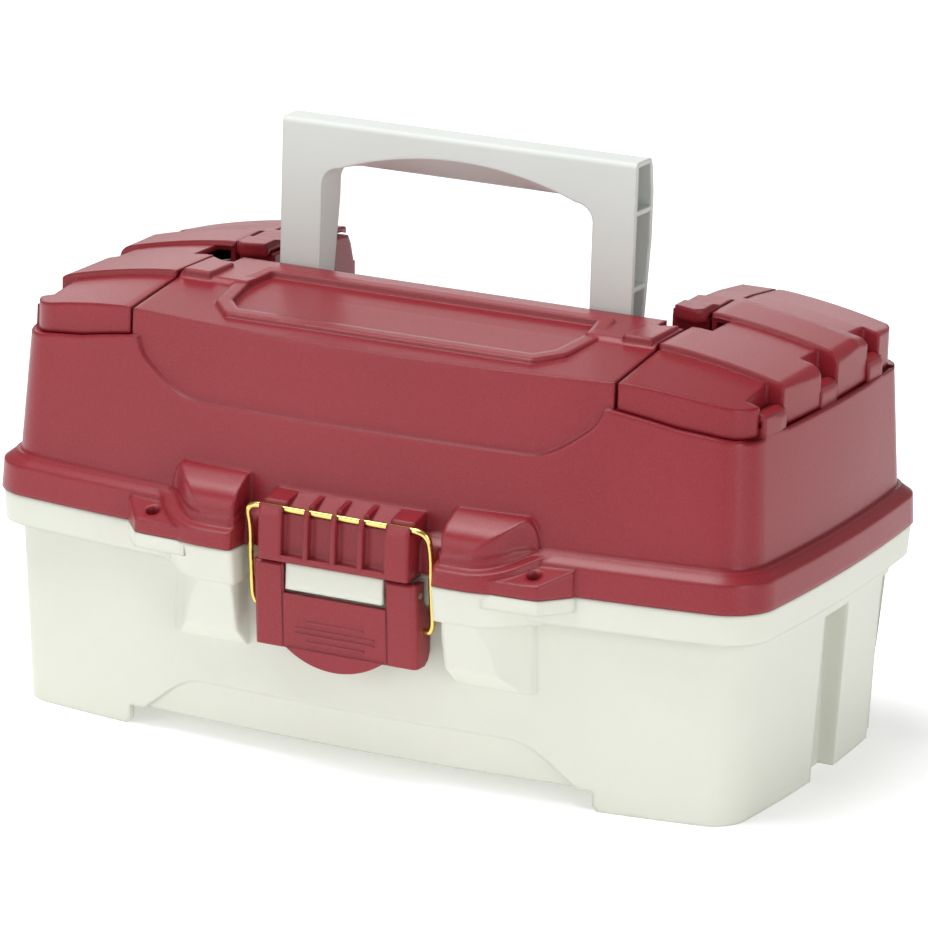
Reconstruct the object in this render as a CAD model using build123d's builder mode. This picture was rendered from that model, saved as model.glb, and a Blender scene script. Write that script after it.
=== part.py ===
from build123d import *
import math
import os

# Lure box with one lift-out tray, closed, with its handle up. Millimetres, +Z up.
# X runs along the box, -Y faces the latch side and Z = 0 is the plane of the feet.

# Plan of the walls: the front and both ends are bowed, the rear is straight
body_length = 340.0
hatch_reach = 66.9
front_reach = 92.0
rear_reach = 93.0
front_bow = 14.3
end_bow = 4.0
corner_radius = 21.0
skin = 2.4
running_gap = 0.05
seat_gap = 0.4

# Base tub
foot_inset = 11.5
under_rim_inset = 7.8
rim_inset = 1.5
rim_draft = 0.8
rim_low_z = 75.0
split_z = 87.3
floor_low_z = 8.0
floor_thickness = 2.6
arch_half_width = 101.0
arch_flat_half_width = 66.0
arch_top_z = 24.5
arch_depth_low = 3.6
arch_depth_high = 1.0
groove_inset = 18.0
groove_spans = ((2.0, 25.0), (64.0, 79.0))
groove_top_z = 67.4

# Lid shell
seam_gap = 0.3
band_inset = 0.8
band_draft = 0.6
band_top_z = 99.0
shoulder_top_z = 101.6
shoulder_inset = 4.4
step_top_z = 102.8
lid_low_inset = 6.9
lid_high_inset = 10.3
ledge_z = 158.6
ledge_curve = ((14.0, 2.4), (25.0, 4.6), (38.0, 6.1), (46.0, 7.3))
panel_edge = 3.1
panel_curve = 30.0
panel_low_z = 137.6
deck_inset = 12.1
deck_draft = 0.04
deck_step_y = -38.0
deck_step_z = 174.0
deck_slope = 0.1444
deck_step_rise = 1.9
deck_step_run = 2.5
deck_rear_y = -4.0
deck_rear_z = 176.7
deck_skin = 4.2
shelf_z = 148.0
shelf_thickness = 2.6
pier_width = 15.6
pier_top_z = 175.4
pier_tail_z = 170.6

# Raised frame on the deck in front of the handle
frame_front_reach = 37.1
frame_middle_reach = 23.5
frame_rear_reach = 27.1
frame_front_y = -68.0
frame_middle_y = -34.6
frame_rear_y = -14.0
frame_rail = 6.2
frame_front_z = 171.4
frame_slope = 0.121
frame_sink = 2.4

# Hatches over the two end bins
hatch_gap = 1.5
hatch_skin = 2.2
crown_start = 4.9
crown_drop = 8.0
crown_middle_share = 0.38
crown_edge_drop = 13.0
crown_edge_width = 4.5
hatch_steps = (-37.0, 11.5)
hatch_front_z = 174.1
hatch_middle_z = (176.3, 176.7)
hatch_rear_line = ((11.5, 178.2), (33.0, 178.7), (40.0, 177.0), (53.0, 176.4), (76.0, 174.0), (79.4, 171.4))
hatch_pin_reach = 15.8
hatch_pin_z = 156.0
hatch_pin_radius = 1.2
knuckle_radius = 3.4
ear_radius = 4.0
ear_spans = ((-55.0, -37.5), (-4.0, 11.0), (43.0, 56.0))
ear_block = 3.3
ear_gap = 0.5
ear_notch = 5.1
swing_radius = 5.75
tongue_reach = 14.1
tongue_front_inner_y = 9.4
tongue_front_outer_y = 6.0
tongue_rear_y = 77.0
tongue_bridge = (35.0, 45.0)
tongue_ridge_length = 17.0
tongue_ridge_height = 1.4
finger_front_y = -12.0
finger_rear_y = 12.5
finger_inner_reach = 10.6
finger_outer_reach = 9.9
finger_notch_y = -7.0
finger_floor_z = 168.4
pad_reach = 13.8
pad_front_y = -37.0
pad_rear_inner_y = -18.0
pad_rear_outer_y = -12.6
pad_z = 177.8

# Bins under the hatches
bin_wall = 1.6
bin_floor_z = 114.0
bin_inner_reach = 13.9
bin_outer_reach = 26.0
bin_front_y = -54.0
bin_rear_y = 64.0
bin_flange = 2.6
bin_corner_share = 0.295
bin_gap = 0.3

# Latch: lever on the base, wire bail on the lever, keeper on the lid
lever_half_width = 35.0
lever_front_y = -98.2
lever_lean = 3.0
lever_low_z = 50.6
lever_top_z = 84.8
lever_plate = 2.6
lever_side = 2.4
lever_top_slope = 1.0
lever_corner_radius = 2.2
lever_rear_y = -84.2
lever_window_half_width = 22.0
lever_window_z = 73.0
lever_pin_y = -94.0
lever_pin_z = 80.0
lever_pin_radius = 1.2
tab_half_width = 21.0
tab_drop = 6.6
grip_lines = ((54.3, 12.5), (57.2, 17.0), (59.5, 17.0), (62.5, 12.5))
grip_line_width = 0.8
grip_line_height = 0.5
pocket_half_width = 42.8
base_pocket_y = -88.2
lid_pocket_y = -90.2
strike_half_width = 20.8
strike_front_y = -97.6
strike_low_z = 74.8
strike_top_z = 85.4
keeper_half_width = 32.3
keeper_front_y = -100.0
keeper_low_z = 86.0
keeper_front_z = 107.5
keeper_slope = 4.0
keeper_slope_depth = 1.0
keeper_rear_z = 110.5
keeper_window_half_width = 22.3
keeper_window_low_z = 88.4
keeper_window_high_z = 109.0
keeper_window_depth = 3.5
keeper_rib = 2.0
keeper_groove = (-98.4, -94.9)
keeper_groove_z = 104.6
bail_radius = 1.15
bail_bend = 2.6
bail_half_width = 38.9
bail_pivot_y = -89.6
bail_pivot_z = 64.8
bail_knees = ((-92.7, 85.8), (-92.6, 94.6), (-93.8, 101.0))
bail_bar_y = -96.9
bail_bar_z = 106.2

# Swellings beside the latch, and the padlock tabs
boss_front_y = -102.8
boss_band_end_x = 90.0
boss_band_low_z = 93.8
boss_shoulder_inner_x = 43.9
boss_shoulder_y = -98.9
boss_shoulder_end_x = 80.4
boss_shoulder_low_z = 97.4
boss_slope = 0.4
dome_inner_x = 44.4
dome_front_y = -97.7
dome_end_x = 78.6
dome_line = ((-97.3, 102.2), (-96.2, 105.9), (-93.2, 109.3), (-88.6, 112.2), (-84.0, 114.2))
dome_round = 9.0
base_boss_low_z = 73.0
base_boss_low_y = -99.4
base_boss_end_x = 81.0
low_block_inner_x = 45.0
low_block_end_x = 77.0
low_block_y = (-96.6, -91.3, -82.5)
low_block_z = (52.4, 44.5)
tab_inner_x = 64.0
tab_root_x = 95.8
tab_apex_x = 84.6
tab_apex_y = -99.3
tab_root_z = 97.8
tab_apex_z = 92.8
base_tab_low_z = 81.5
padlock_x = 82.0
padlock_y = -92.8
padlock_radius = 2.8

# Handle
handle_side_room = 10.7
leg_width = 17.8
handle_front_y = -2.8
handle_back_line = ((9.5, 172.0), (13.5, 203.0), (13.6, 222.0), (12.0, 232.0))
handle_top_z = 236.0
grip_low_z = 217.6
grip_corner_radius = 7.5
grip_arch_rise = 9.6
grip_arch_depth = 10.0
handle_pin_y = 4.0
handle_pin_z = 160.0
handle_pin_radius = 2.5
handle_wall = 2.0
handle_rib_z = (184.6, 214.7)
lug_gap = 0.6
lug_top_z = 168.0
lug_rear_y = 11.0

# Rear hinge
hinge_knuckle_radius = 4.2
hinge_pin_radius = 1.5
hinge_centre_x = 100.0
hinge_knuckle_length = 16.0
hinge_knuckle_gap = 0.4

# Tray, carried by the lid and by two arms on the base
tray_end_room = 24.6
tray_front_y = -59.0
tray_rear_y = 58.0
tray_low_z = 43.4
tray_top_z = 86.0
tray_wall = 1.8
tray_floor = 2.0
tray_corner_radius = 6.0
tray_long_wall_y = -6.0
tray_cross_walls = (-72.0, 0.0, 72.0)
divider_places = (-108.0, -36.0, 36.0, 108.0)
divider_thickness = 1.6
divider_gap = 0.2
guide_width = 1.6
guide_depth = 1.6
divider_drop = 4.0
tray_pivot_y = 36.6
tray_pivot_z = 80.0
tray_pin_radius = 2.0
arm_base_y = 72.0
arm_base_z = 61.3
arm_width = 10.0
arm_thickness = 2.0
arm_tray_gap = 1.2
arm_wall_gap = 0.8
rivet_head_radius = 3.4
rivet_head_height = 1.2
hanger_reach = 17.5
hanger_thickness = 3.0
hanger_half_width = 8.0
hanger_root_z = (100.0, 118.0)

half_length = body_length / 2
deck_half_width = half_length - hatch_reach
panel_half_width = deck_half_width - panel_edge
panel_flat_half_width = panel_half_width - panel_curve
recess_half_width = deck_half_width - pier_width
frame_front_half_width = deck_half_width - frame_front_reach
frame_middle_half_width = deck_half_width - frame_middle_reach
frame_rear_half_width = deck_half_width - frame_rear_reach
crown_start_x = deck_half_width + crown_start
hatch_pin_x = half_length - hatch_pin_reach
tongue_inner_x = deck_half_width - tongue_reach
finger_inner_x = deck_half_width - finger_inner_reach
finger_outer_x = deck_half_width + finger_outer_reach
pad_inner_x = deck_half_width - pad_reach
bin_inner_x = deck_half_width + bin_inner_reach
bin_outer_x = half_length - bin_outer_reach
bin_corner_radius = bin_corner_share * (bin_outer_x - bin_inner_x)
handle_half_width = recess_half_width - handle_side_room
leg_inner_x = handle_half_width - leg_width
tray_half_length = half_length - tray_end_room
hanger_x = half_length - hanger_reach
lid_low_z = split_z + seam_gap
floor_z = floor_low_z + floor_thickness
hinge_y = -boss_front_y - hinge_knuckle_radius
hinge_z = split_z
groove_x = half_length - groove_inset
arm_outer_x = groove_x - skin - arm_wall_gap
arm_inner_x = arm_outer_x - arm_thickness
hatch_inner_x = deck_half_width + hatch_gap
hatch_outer_x = half_length - deck_inset - 0.1
shelf_low_z = shelf_z - shelf_thickness
arm_tray_y = tray_pivot_y + arm_base_y - hinge_y
arm_tray_z = tray_pivot_z + arm_base_z - hinge_z


def outline(inset):
    """The plan of the walls, set in by inset: bowed front and ends, straight rear."""
    end_x = half_length - inset
    corner_x = end_x - end_bow
    front_y = inset - front_reach
    corner_y = front_y + front_bow
    rear_y = rear_reach - inset
    end_y = (corner_y + rear_y) / 2
    with BuildSketch() as plan:
        with BuildLine():
            ThreePointArc((-corner_x, corner_y), (0, front_y), (corner_x, corner_y))
            ThreePointArc((corner_x, corner_y), (end_x, end_y), (corner_x, rear_y))
            Line((corner_x, rear_y), (-corner_x, rear_y))
            ThreePointArc((-corner_x, rear_y), (-end_x, end_y), (-corner_x, corner_y))
        make_face()
        fillet(plan.vertices(), corner_radius - inset / 2)
    return plan.sketch


def drafted_block(low_z, low_inset, high_z, high_inset):
    """A solid with the plan of the walls, from one inset at low_z to another at high_z."""
    with BuildPart() as block:
        with BuildSketch(Plane.XY.offset(low_z)):
            add(outline(low_inset))
        with BuildSketch(Plane.XY.offset(high_z)):
            add(outline(high_inset))
        loft(ruled=True)
    return block.part


def bar(x_span, y_span, z_span):
    """A plain block between three pairs of limits."""
    centre = ((x_span[0] + x_span[1]) / 2, (y_span[0] + y_span[1]) / 2)
    with BuildPart() as block:
        with BuildSketch(Plane.XY.offset(min(z_span))):
            with Locations(centre):
                Rectangle(abs(x_span[1] - x_span[0]), abs(y_span[1] - y_span[0]))
        extrude(amount=abs(z_span[1] - z_span[0]))
    return block.part


def prism_along_x(points, x_low, x_high):
    """A polygon of (y, z) points, carried from x_low to x_high."""
    with BuildPart() as prism:
        with BuildSketch(Plane.YZ.offset(x_low)):
            with BuildLine():
                Polyline(*points, close=True)
            make_face()
        extrude(amount=x_high - x_low)
    return prism.part


def prism_along_y(points, y_low, y_high):
    """A polygon of (x, z) points, carried from y_low to y_high."""
    with BuildPart() as prism:
        with BuildSketch(Plane.XZ.offset(-y_high)):
            with BuildLine():
                Polyline(*points, close=True)
            make_face()
        extrude(amount=y_high - y_low)
    return prism.part


def plan_prism(points, low_z, high_z, rounding):
    """A polygon of (x, y) points standing from low_z to high_z, with its corners rounded."""
    with BuildPart() as prism:
        with BuildSketch(Plane.XY.offset(low_z)) as plan:
            with BuildLine():
                Polyline(*points, close=True)
            make_face()
            if rounding > 0:
                fillet(plan.vertices(), rounding)
        extrude(amount=high_z - low_z)
    return prism.part


def rod_along_x(y, z, radius, x_low, x_high):
    """A round bar parallel to X."""
    with BuildPart() as rod:
        with BuildSketch(Plane.YZ.offset(x_low)):
            with Locations((y, z)):
                Circle(radius)
        extrude(amount=x_high - x_low)
    return rod.part


def rod_along_y(x, z, radius, y_low, y_high):
    """A round bar parallel to Y."""
    with BuildPart() as rod:
        with BuildSketch(Plane.XZ.offset(-y_high)):
            with Locations((x, z)):
                Circle(radius)
        extrude(amount=y_high - y_low)
    return rod.part


def both_ends(piece):
    """The piece and its mirror image at the other end of the box."""
    with BuildPart() as pair:
        add(piece)
        mirror(piece, about=Plane.YZ)
    return pair.part


def wall_front_y(x, inset):
    """Where the bowed front wall stands at x."""
    corner_x = half_length - inset - end_bow
    radius = (corner_x**2 + front_bow**2) / (2 * front_bow)
    return inset - front_reach + radius - math.sqrt(radius**2 - x**2)


def save(name, piece):
    """Label one finished piece and write its file."""
    piece.label = name
    export_step(piece, f"parts/{name}.step")


os.makedirs("parts", exist_ok=True)


# Base tub: drafted walls under a rim, on six feet
arch_run = arch_half_width - arch_flat_half_width
with BuildPart() as arch_prism:
    with BuildSketch(Plane.XZ.offset(-deck_rear_y)):
        with BuildLine():
            Spline(
                (-arch_half_width - 3.0, -1.0),
                (-arch_flat_half_width - 0.62 * arch_run, 0.55 * arch_top_z),
                (-arch_flat_half_width, arch_top_z),
                tangents=((0.8, 1.0), (1.0, 0.06)),
            )
            Line((-arch_flat_half_width, arch_top_z), (arch_flat_half_width, arch_top_z))
            Spline(
                (arch_flat_half_width, arch_top_z),
                (arch_flat_half_width + 0.62 * arch_run, 0.55 * arch_top_z),
                (arch_half_width + 3.0, -1.0),
                tangents=((1.0, -0.06), (0.8, -1.0)),
            )
            Line((arch_half_width + 3.0, -1.0), (-arch_half_width - 3.0, -1.0))
        make_face()
    extrude(amount=front_reach + 20.0)

arch_face_low = foot_inset + arch_depth_low
arch_face_high = under_rim_inset + arch_depth_high + 2.0
with BuildPart() as arch_cut:
    add(arch_prism.part)
    add(drafted_block(-2.0, arch_face_low, arch_top_z + 4.0, arch_face_high), mode=Mode.SUBTRACT)

groove_cuts = []
groove_bumps = []
for groove_low_y, groove_high_y in groove_spans:
    groove_cuts.append(
        bar((groove_x, half_length + 5.0), (groove_low_y, groove_high_y), (-1.0, groove_top_z))
    )
    bump_y = (groove_low_y - skin, groove_high_y + skin)
    groove_bumps.append(bar((groove_x - skin, half_length + 5.0), bump_y, (-1.0, groove_top_z + skin)))

with BuildPart() as base_cavity:
    add(drafted_block(floor_z, foot_inset + skin, split_z + 1.0, under_rim_inset + skin))
    with BuildPart(mode=Mode.PRIVATE) as arch_back:
        add(arch_prism.part)
        add(
            drafted_block(-2.0, arch_face_low + skin, arch_top_z + 4.0, arch_face_high + skin),
            mode=Mode.SUBTRACT,
        )
    add(arch_back.part, mode=Mode.SUBTRACT)
    for bump in groove_bumps:
        add(both_ends(bump), mode=Mode.SUBTRACT)

with BuildPart() as under_floor:
    add(drafted_block(-1.0, foot_inset + skin, floor_low_z, foot_inset + skin))
    for bump in groove_bumps:
        add(both_ends(bump), mode=Mode.SUBTRACT)

rim_low_inset = rim_inset + rim_draft
with BuildPart() as rim_channel:
    add(drafted_block(rim_low_z - 1.0, rim_low_inset + skin, split_z - skin, rim_inset + skin))
    add(drafted_block(rim_low_z - 2.0, under_rim_inset, split_z, under_rim_inset), mode=Mode.SUBTRACT)

tab_plan = ((tab_inner_x, -80.0), (tab_inner_x, tab_apex_y - 1.2), (tab_apex_x - 3.0, tab_apex_y - 0.3))
tab_plan += ((tab_apex_x + 2.0, tab_apex_y + 0.5), (tab_root_x, -87.6), (tab_root_x, -80.0))


bulge_curve = ((0.35, 0.07), (0.6, 0.34), (0.8, 0.74))


def bulge_plan(inner_x, front_y, end_x, end_y):
    """The plan of a swelling: square beside the latch, running out to the wall in an S-curve."""
    back_y = -76.0
    start_x = inner_x + 8.0
    with BuildSketch() as plan:
        with BuildLine():
            Line((inner_x, back_y), (inner_x, front_y + 2.0))
            ThreePointArc(
                (inner_x, front_y + 2.0),
                (inner_x + 0.6, front_y + 0.6),
                (inner_x + 2.0, front_y),
            )
            Line((inner_x + 2.0, front_y), (start_x, front_y))
            curve = [(start_x, front_y)]
            for share_x, share_y in bulge_curve:
                curve.append((start_x + share_x * (end_x - start_x), front_y + share_y * (end_y - front_y)))
            curve.append((end_x, end_y))
            Spline(*curve, tangents=((1.0, 0.0), (1.0, 0.35)))
            Line((end_x, end_y), (end_x + 3.0, back_y))
            Line((end_x + 3.0, back_y), (inner_x, back_y))
        make_face()
    return plan.sketch


def bulge(inner_x, low_front_y, low_end_x, low_z, high_front_y, high_end_x, high_z):
    """A swelling with one plan at low_z and another at high_z."""
    with BuildPart() as swelling:
        with BuildSketch(Plane.XY.offset(low_z)):
            add(bulge_plan(inner_x, low_front_y, low_end_x, wall_front_y(low_end_x, 5.0)))
        with BuildSketch(Plane.XY.offset(high_z)):
            add(bulge_plan(inner_x, high_front_y, high_end_x, wall_front_y(high_end_x, 5.0)))
        loft(ruled=True)
    return swelling.part


def under_slope(low_z, slope):
    """Everything below a plane that rises towards the rear from low_z at the front of the bosses."""
    reach = 40.0
    points = [(boss_front_y - 5.0, 20.0), (boss_front_y - 5.0, low_z - 5.0 * slope)]
    points += [(boss_front_y + reach, low_z + reach * slope), (boss_front_y + reach, 20.0)]
    return prism_along_x(points, 30.0, 120.0)


with BuildPart() as base_lugs:
    add(
        bulge(
            pocket_half_width,
            base_boss_low_y,
            base_boss_end_x,
            base_boss_low_z,
            boss_front_y + 0.7,
            boss_band_end_x - 1.5,
            split_z,
        )
    )
    add(plan_prism(tab_plan, base_tab_low_z, split_z, 0))
    with BuildPart(mode=Mode.PRIVATE) as low_block:
        with BuildSketch(Plane.XY.offset(low_block_z[1])):
            add(bulge_plan(low_block_inner_x, low_block_y[0], low_block_end_x, -82.0))
        extrude(amount=base_boss_low_z - low_block_z[1])
        block_line = [(-70.0, 90.0), (low_block_y[0] - 0.3, 90.0), (low_block_y[0], base_boss_low_z)]
        block_line += [
            (low_block_y[1], low_block_z[0]),
            (low_block_y[2], low_block_z[1]),
            (-70.0, low_block_z[1]),
        ]
        add(prism_along_x(block_line, 40.0, 90.0), mode=Mode.INTERSECT)
    add(low_block.part)

with BuildPart() as base_knuckles:
    knuckle_step = hinge_knuckle_length + hinge_knuckle_gap
    web = ((rear_reach - rim_inset - 1.0, hinge_z - 9.0), (rear_reach - rim_inset - 1.0, hinge_z))
    web += ((hinge_y, hinge_z), (hinge_y + 1.0, hinge_z - hinge_knuckle_radius + 0.1))
    web += ((hinge_y - 2.0, hinge_z - hinge_knuckle_radius),)
    for side in (-1, 1):
        knuckle_x = hinge_centre_x + side * knuckle_step
        knuckle_low_x = knuckle_x - hinge_knuckle_length / 2
        knuckle_high_x = knuckle_x + hinge_knuckle_length / 2
        add(prism_along_x(web, knuckle_low_x, knuckle_high_x))
        add(rod_along_x(hinge_y, hinge_z, hinge_knuckle_radius, knuckle_low_x, knuckle_high_x))

with BuildPart() as base_tub:
    add(drafted_block(0.0, foot_inset, rim_low_z + 1.0, under_rim_inset))
    add(drafted_block(rim_low_z, rim_low_inset, split_z, rim_inset))
    add(base_cavity.part, mode=Mode.SUBTRACT)
    add(under_floor.part, mode=Mode.SUBTRACT)
    add(arch_cut.part, mode=Mode.SUBTRACT)
    for cut in groove_cuts:
        add(both_ends(cut), mode=Mode.SUBTRACT)
    add(rim_channel.part, mode=Mode.SUBTRACT)
    foot_gap_x = (-arch_half_width, arch_half_width)
    add(bar(foot_gap_x, (-120.0, -70.0), (-1.0, floor_low_z)), mode=Mode.SUBTRACT)
    add(bar(foot_gap_x, (70.0, 120.0), (-1.0, floor_low_z)), mode=Mode.SUBTRACT)
    pocket_x = (-pocket_half_width, pocket_half_width)
    add(bar(pocket_x, (-120.0, base_pocket_y), (base_boss_low_z - 3.0, split_z + 1.0)), mode=Mode.SUBTRACT)
    with BuildPart(mode=Mode.PRIVATE) as lugs_outside:
        add(both_ends(base_lugs.part))
        add(drafted_block(0.0, foot_inset + 1.0, split_z + 1.0, under_rim_inset + 1.0), mode=Mode.SUBTRACT)
    add(lugs_outside.part)
    strike_x = (-strike_half_width, strike_half_width)
    add(bar(strike_x, (strike_front_y, base_pocket_y + 5.0), (strike_low_z, strike_top_z)))
    add(both_ends(base_knuckles.part))
    with BuildPart(mode=Mode.PRIVATE) as base_bores:
        add(rod_along_x(lever_pin_y, lever_pin_z, lever_pin_radius, -40.0, 40.0))
        far_x = hinge_centre_x + 2 * hinge_knuckle_length
        near_x = hinge_centre_x - 2 * hinge_knuckle_length
        add(both_ends(rod_along_x(hinge_y, hinge_z, hinge_pin_radius, near_x, far_x)))
        add(
            both_ends(
                rod_along_x(
                    arm_base_y,
                    arm_base_z,
                    tray_pin_radius,
                    groove_x - skin - 2.0,
                    groove_x - 0.6,
                )
            )
        )
        with BuildPart(mode=Mode.PRIVATE) as padlock_bore:
            with BuildSketch(Plane.XY.offset(base_tab_low_z - 5.0)):
                with Locations((padlock_x, padlock_y), (-padlock_x, padlock_y)):
                    Circle(padlock_radius)
            extrude(amount=split_z - base_tab_low_z + 30.0)
        add(padlock_bore.part)
    add(base_bores.part, mode=Mode.SUBTRACT)
save("base_tub", base_tub.part)


# Crowned cover over one end: its height is a line along Y less a curve along X
def crown_strip(inner_x, outer_x, low_y, high_y, low_y_z, high_y_z):
    """One strip of the crowned cover, between two heights of the flat part of its top."""
    with BuildPart() as strip:
        with BuildSketch(Plane.XZ.offset(-low_y)):
            with BuildLine():
                edge_x = outer_x - crown_edge_width
                middle_x = (crown_start_x + edge_x) / 2
                Line((inner_x, 60.0), (inner_x, low_y_z))
                Line((inner_x, low_y_z), (crown_start_x, low_y_z))
                ThreePointArc(
                    (crown_start_x, low_y_z),
                    (middle_x, low_y_z - crown_middle_share * crown_drop),
                    (edge_x, low_y_z - crown_drop),
                )
                ThreePointArc(
                    (edge_x, low_y_z - crown_drop),
                    (
                        outer_x - 0.32 * crown_edge_width,
                        low_y_z - crown_drop - 0.36 * (crown_edge_drop - crown_drop),
                    ),
                    (outer_x, low_y_z - crown_edge_drop),
                )
                Line((outer_x, low_y_z - crown_edge_drop), (outer_x, 60.0))
                Line((outer_x, 60.0), (inner_x, 60.0))
            make_face()
        run = high_y - low_y
        rise = high_y_z - low_y_z
        extrude(amount=math.hypot(run, rise), dir=(0, run, rise))
    return strip.part


def deck_height(y):
    """Height of the front slope of the deck and of the hatches, before the step."""
    return deck_step_z + deck_slope * (y - deck_step_y)


def crown_body(inner_x, outer_x, sink, shift):
    """The whole crowned cover as a solid, lowered by sink, its steps moved back by shift."""
    front_y = -front_reach
    step_1 = hatch_steps[0] + shift
    step_2 = hatch_steps[1] + shift
    middle_slope = (hatch_middle_z[1] - hatch_middle_z[0]) / (hatch_steps[1] - hatch_steps[0])
    front_slope = deck_slope * (step_1 - front_y)
    front_step_z = hatch_front_z - sink + deck_slope * shift
    with BuildPart() as body:
        add(crown_strip(inner_x, outer_x, front_y, step_1, front_step_z - front_slope, front_step_z))
        low_z = hatch_middle_z[0] - sink + middle_slope * shift
        add(crown_strip(inner_x, outer_x, step_1, step_2, low_z, hatch_middle_z[1] - sink))
        line = ((step_2, hatch_rear_line[0][1]),) + hatch_rear_line[1:]
        for start, end in zip(line, line[1:]):
            add(crown_strip(inner_x, outer_x, start[0], end[0], start[1] - sink, end[1] - sink))
        last_y, last_z = line[-1]
        add(crown_strip(inner_x, outer_x, last_y, rear_reach, last_z - sink, last_z - sink - 4.0))
    return body.part


def ledge_region(lift):
    """The (x, z) points of the ledge the hatch stands on, raised by lift."""
    points = [(deck_half_width - 0.5, ledge_z + lift), (deck_half_width, ledge_z + lift)]
    for offset_x, drop in ledge_curve:
        points.append((deck_half_width + offset_x, ledge_z - drop + lift))
    points.append((half_length + 10.0, ledge_z - ledge_curve[-1][1] + lift))
    return points


ledge_low = ledge_region(0.0)
ledge_high = ledge_region(seat_gap)
above_ledge = both_ends(
    prism_along_y(ledge_low + [(half_length + 10.0, 230.0), (ledge_low[0][0], 230.0)], -130.0, 130.0)
)
above_seat = prism_along_y(
    ledge_high + [(half_length + 10.0, 230.0), (50.0, 230.0), (50.0, ledge_high[0][1])],
    -130.0,
    130.0,
)

# Lid shell: band, two steps and body, with the deck standing on it between the hatches
deck_block_low_z = shelf_low_z - 18.0
deck_block_high_z = deck_rear_z + 8.0


def deck_block(extra):
    """The plan of the deck, drafted like its front face, set in by extra."""
    low_inset = deck_inset + extra - deck_draft * (ledge_z + 10.0 - deck_block_low_z)
    high_inset = deck_inset + extra + deck_draft * (deck_block_high_z - ledge_z - 10.0)
    return drafted_block(deck_block_low_z, low_inset, deck_block_high_z, high_inset)


def deck_profile(sink):
    """The (y, z) line of the deck from front to rear, lowered by sink."""
    step_high_y = deck_step_y + deck_step_run
    front_y = -front_reach - 5.0
    points = [(front_y, deck_block_low_z), (front_y, deck_height(front_y) - sink)]
    points += [(deck_step_y, deck_step_z - sink), (step_high_y, deck_step_z + deck_step_rise - sink)]
    points += [(deck_rear_y, deck_rear_z - sink), (deck_rear_y, deck_block_low_z)]
    return points


with BuildPart() as deck_body:
    add(prism_along_x(deck_profile(0.0), -deck_half_width, deck_half_width))
    with BuildPart(mode=Mode.PRIVATE) as pier:
        tail_y = hatch_rear_line[-2][0]
        pier_line = [
            (deck_rear_y - 1.0, deck_block_low_z),
            (deck_rear_y - 1.0, finger_floor_z),
            (finger_rear_y, finger_floor_z),
        ]
        pier_line += [
            (finger_rear_y, pier_top_z),
            (hatch_rear_line[1][0], pier_top_z),
            (hatch_rear_line[2][0], pier_top_z - 1.4),
        ]
        pier_line += [
            (tail_y, pier_tail_z),
            (tail_y + 2.6, pier_tail_z - 4.0),
            (rear_reach, deck_block_low_z),
        ]
        add(prism_along_x(pier_line, recess_half_width, deck_half_width))
    add(both_ends(pier.part))
    add(deck_block(0.0), mode=Mode.INTERSECT)

with BuildPart() as deck_frame:
    with BuildSketch(Plane.XY.offset(deck_block_low_z)) as frame_plan:
        with BuildLine():
            Polyline(
                (-frame_front_half_width, frame_front_y),
                (frame_front_half_width, frame_front_y),
                (frame_middle_half_width - 4.0, frame_front_y + 10.6),
                (frame_middle_half_width, frame_middle_y),
                (frame_rear_half_width, frame_rear_y),
                (-frame_rear_half_width, frame_rear_y),
                (-frame_middle_half_width, frame_middle_y),
                (4.0 - frame_middle_half_width, frame_front_y + 10.6),
                close=True,
            )
        make_face()
        fillet(frame_plan.vertices(), 3.0)
    extrude(amount=80.0)
    frame_top = [(-100.0, 100.0), (-100.0, frame_front_z + frame_slope * (-100.0 - frame_front_y))]
    frame_top += [(0.0, frame_front_z - frame_slope * frame_front_y), (0.0, 100.0)]
    add(prism_along_x(frame_top, -100.0, 100.0), mode=Mode.INTERSECT)
    chamfer(deck_frame.faces().sort_by(Axis.Z)[-1].edges(), 0.6)

with BuildPart() as frame_hollow:
    with BuildSketch(Plane.XY.offset(deck_block_low_z)):
        offset(frame_plan.sketch, amount=-frame_rail)
    extrude(amount=80.0)
    hollow_z = frame_front_z - frame_sink
    hollow_top = [(-100.0, 230.0), (-100.0, hollow_z + frame_slope * (-100.0 - frame_front_y))]
    hollow_top += [(0.0, hollow_z - frame_slope * frame_front_y), (0.0, 230.0)]
    add(prism_along_x(hollow_top, -100.0, 100.0), mode=Mode.INTERSECT)

panel_run = panel_half_width - panel_flat_half_width
panel_rise = ledge_z - panel_low_z
with BuildPart() as panel_cut:
    with BuildSketch(Plane.XZ.offset(-deck_rear_y)):
        with BuildLine():
            Line((-panel_half_width, 230.0), (-panel_half_width, ledge_z))
            Spline(
                (-panel_half_width, ledge_z),
                (-panel_flat_half_width - 0.76 * panel_run, panel_low_z + 0.5 * panel_rise),
                (-panel_flat_half_width - 0.42 * panel_run, panel_low_z + 0.16 * panel_rise),
                (-panel_flat_half_width, panel_low_z),
                tangents=((0.2, -1.0), (1.0, 0.0)),
            )
            Line((-panel_flat_half_width, panel_low_z), (panel_flat_half_width, panel_low_z))
            Spline(
                (panel_flat_half_width, panel_low_z),
                (panel_flat_half_width + 0.42 * panel_run, panel_low_z + 0.16 * panel_rise),
                (panel_flat_half_width + 0.76 * panel_run, panel_low_z + 0.5 * panel_rise),
                (panel_half_width, ledge_z),
                tangents=((1.0, 0.0), (0.2, 1.0)),
            )
            Line((panel_half_width, ledge_z), (panel_half_width, 230.0))
            Line((panel_half_width, 230.0), (-panel_half_width, 230.0))
        make_face()
    extrude(amount=front_reach + 20.0)
    add(deck_block(0.0), mode=Mode.SUBTRACT)

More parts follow.
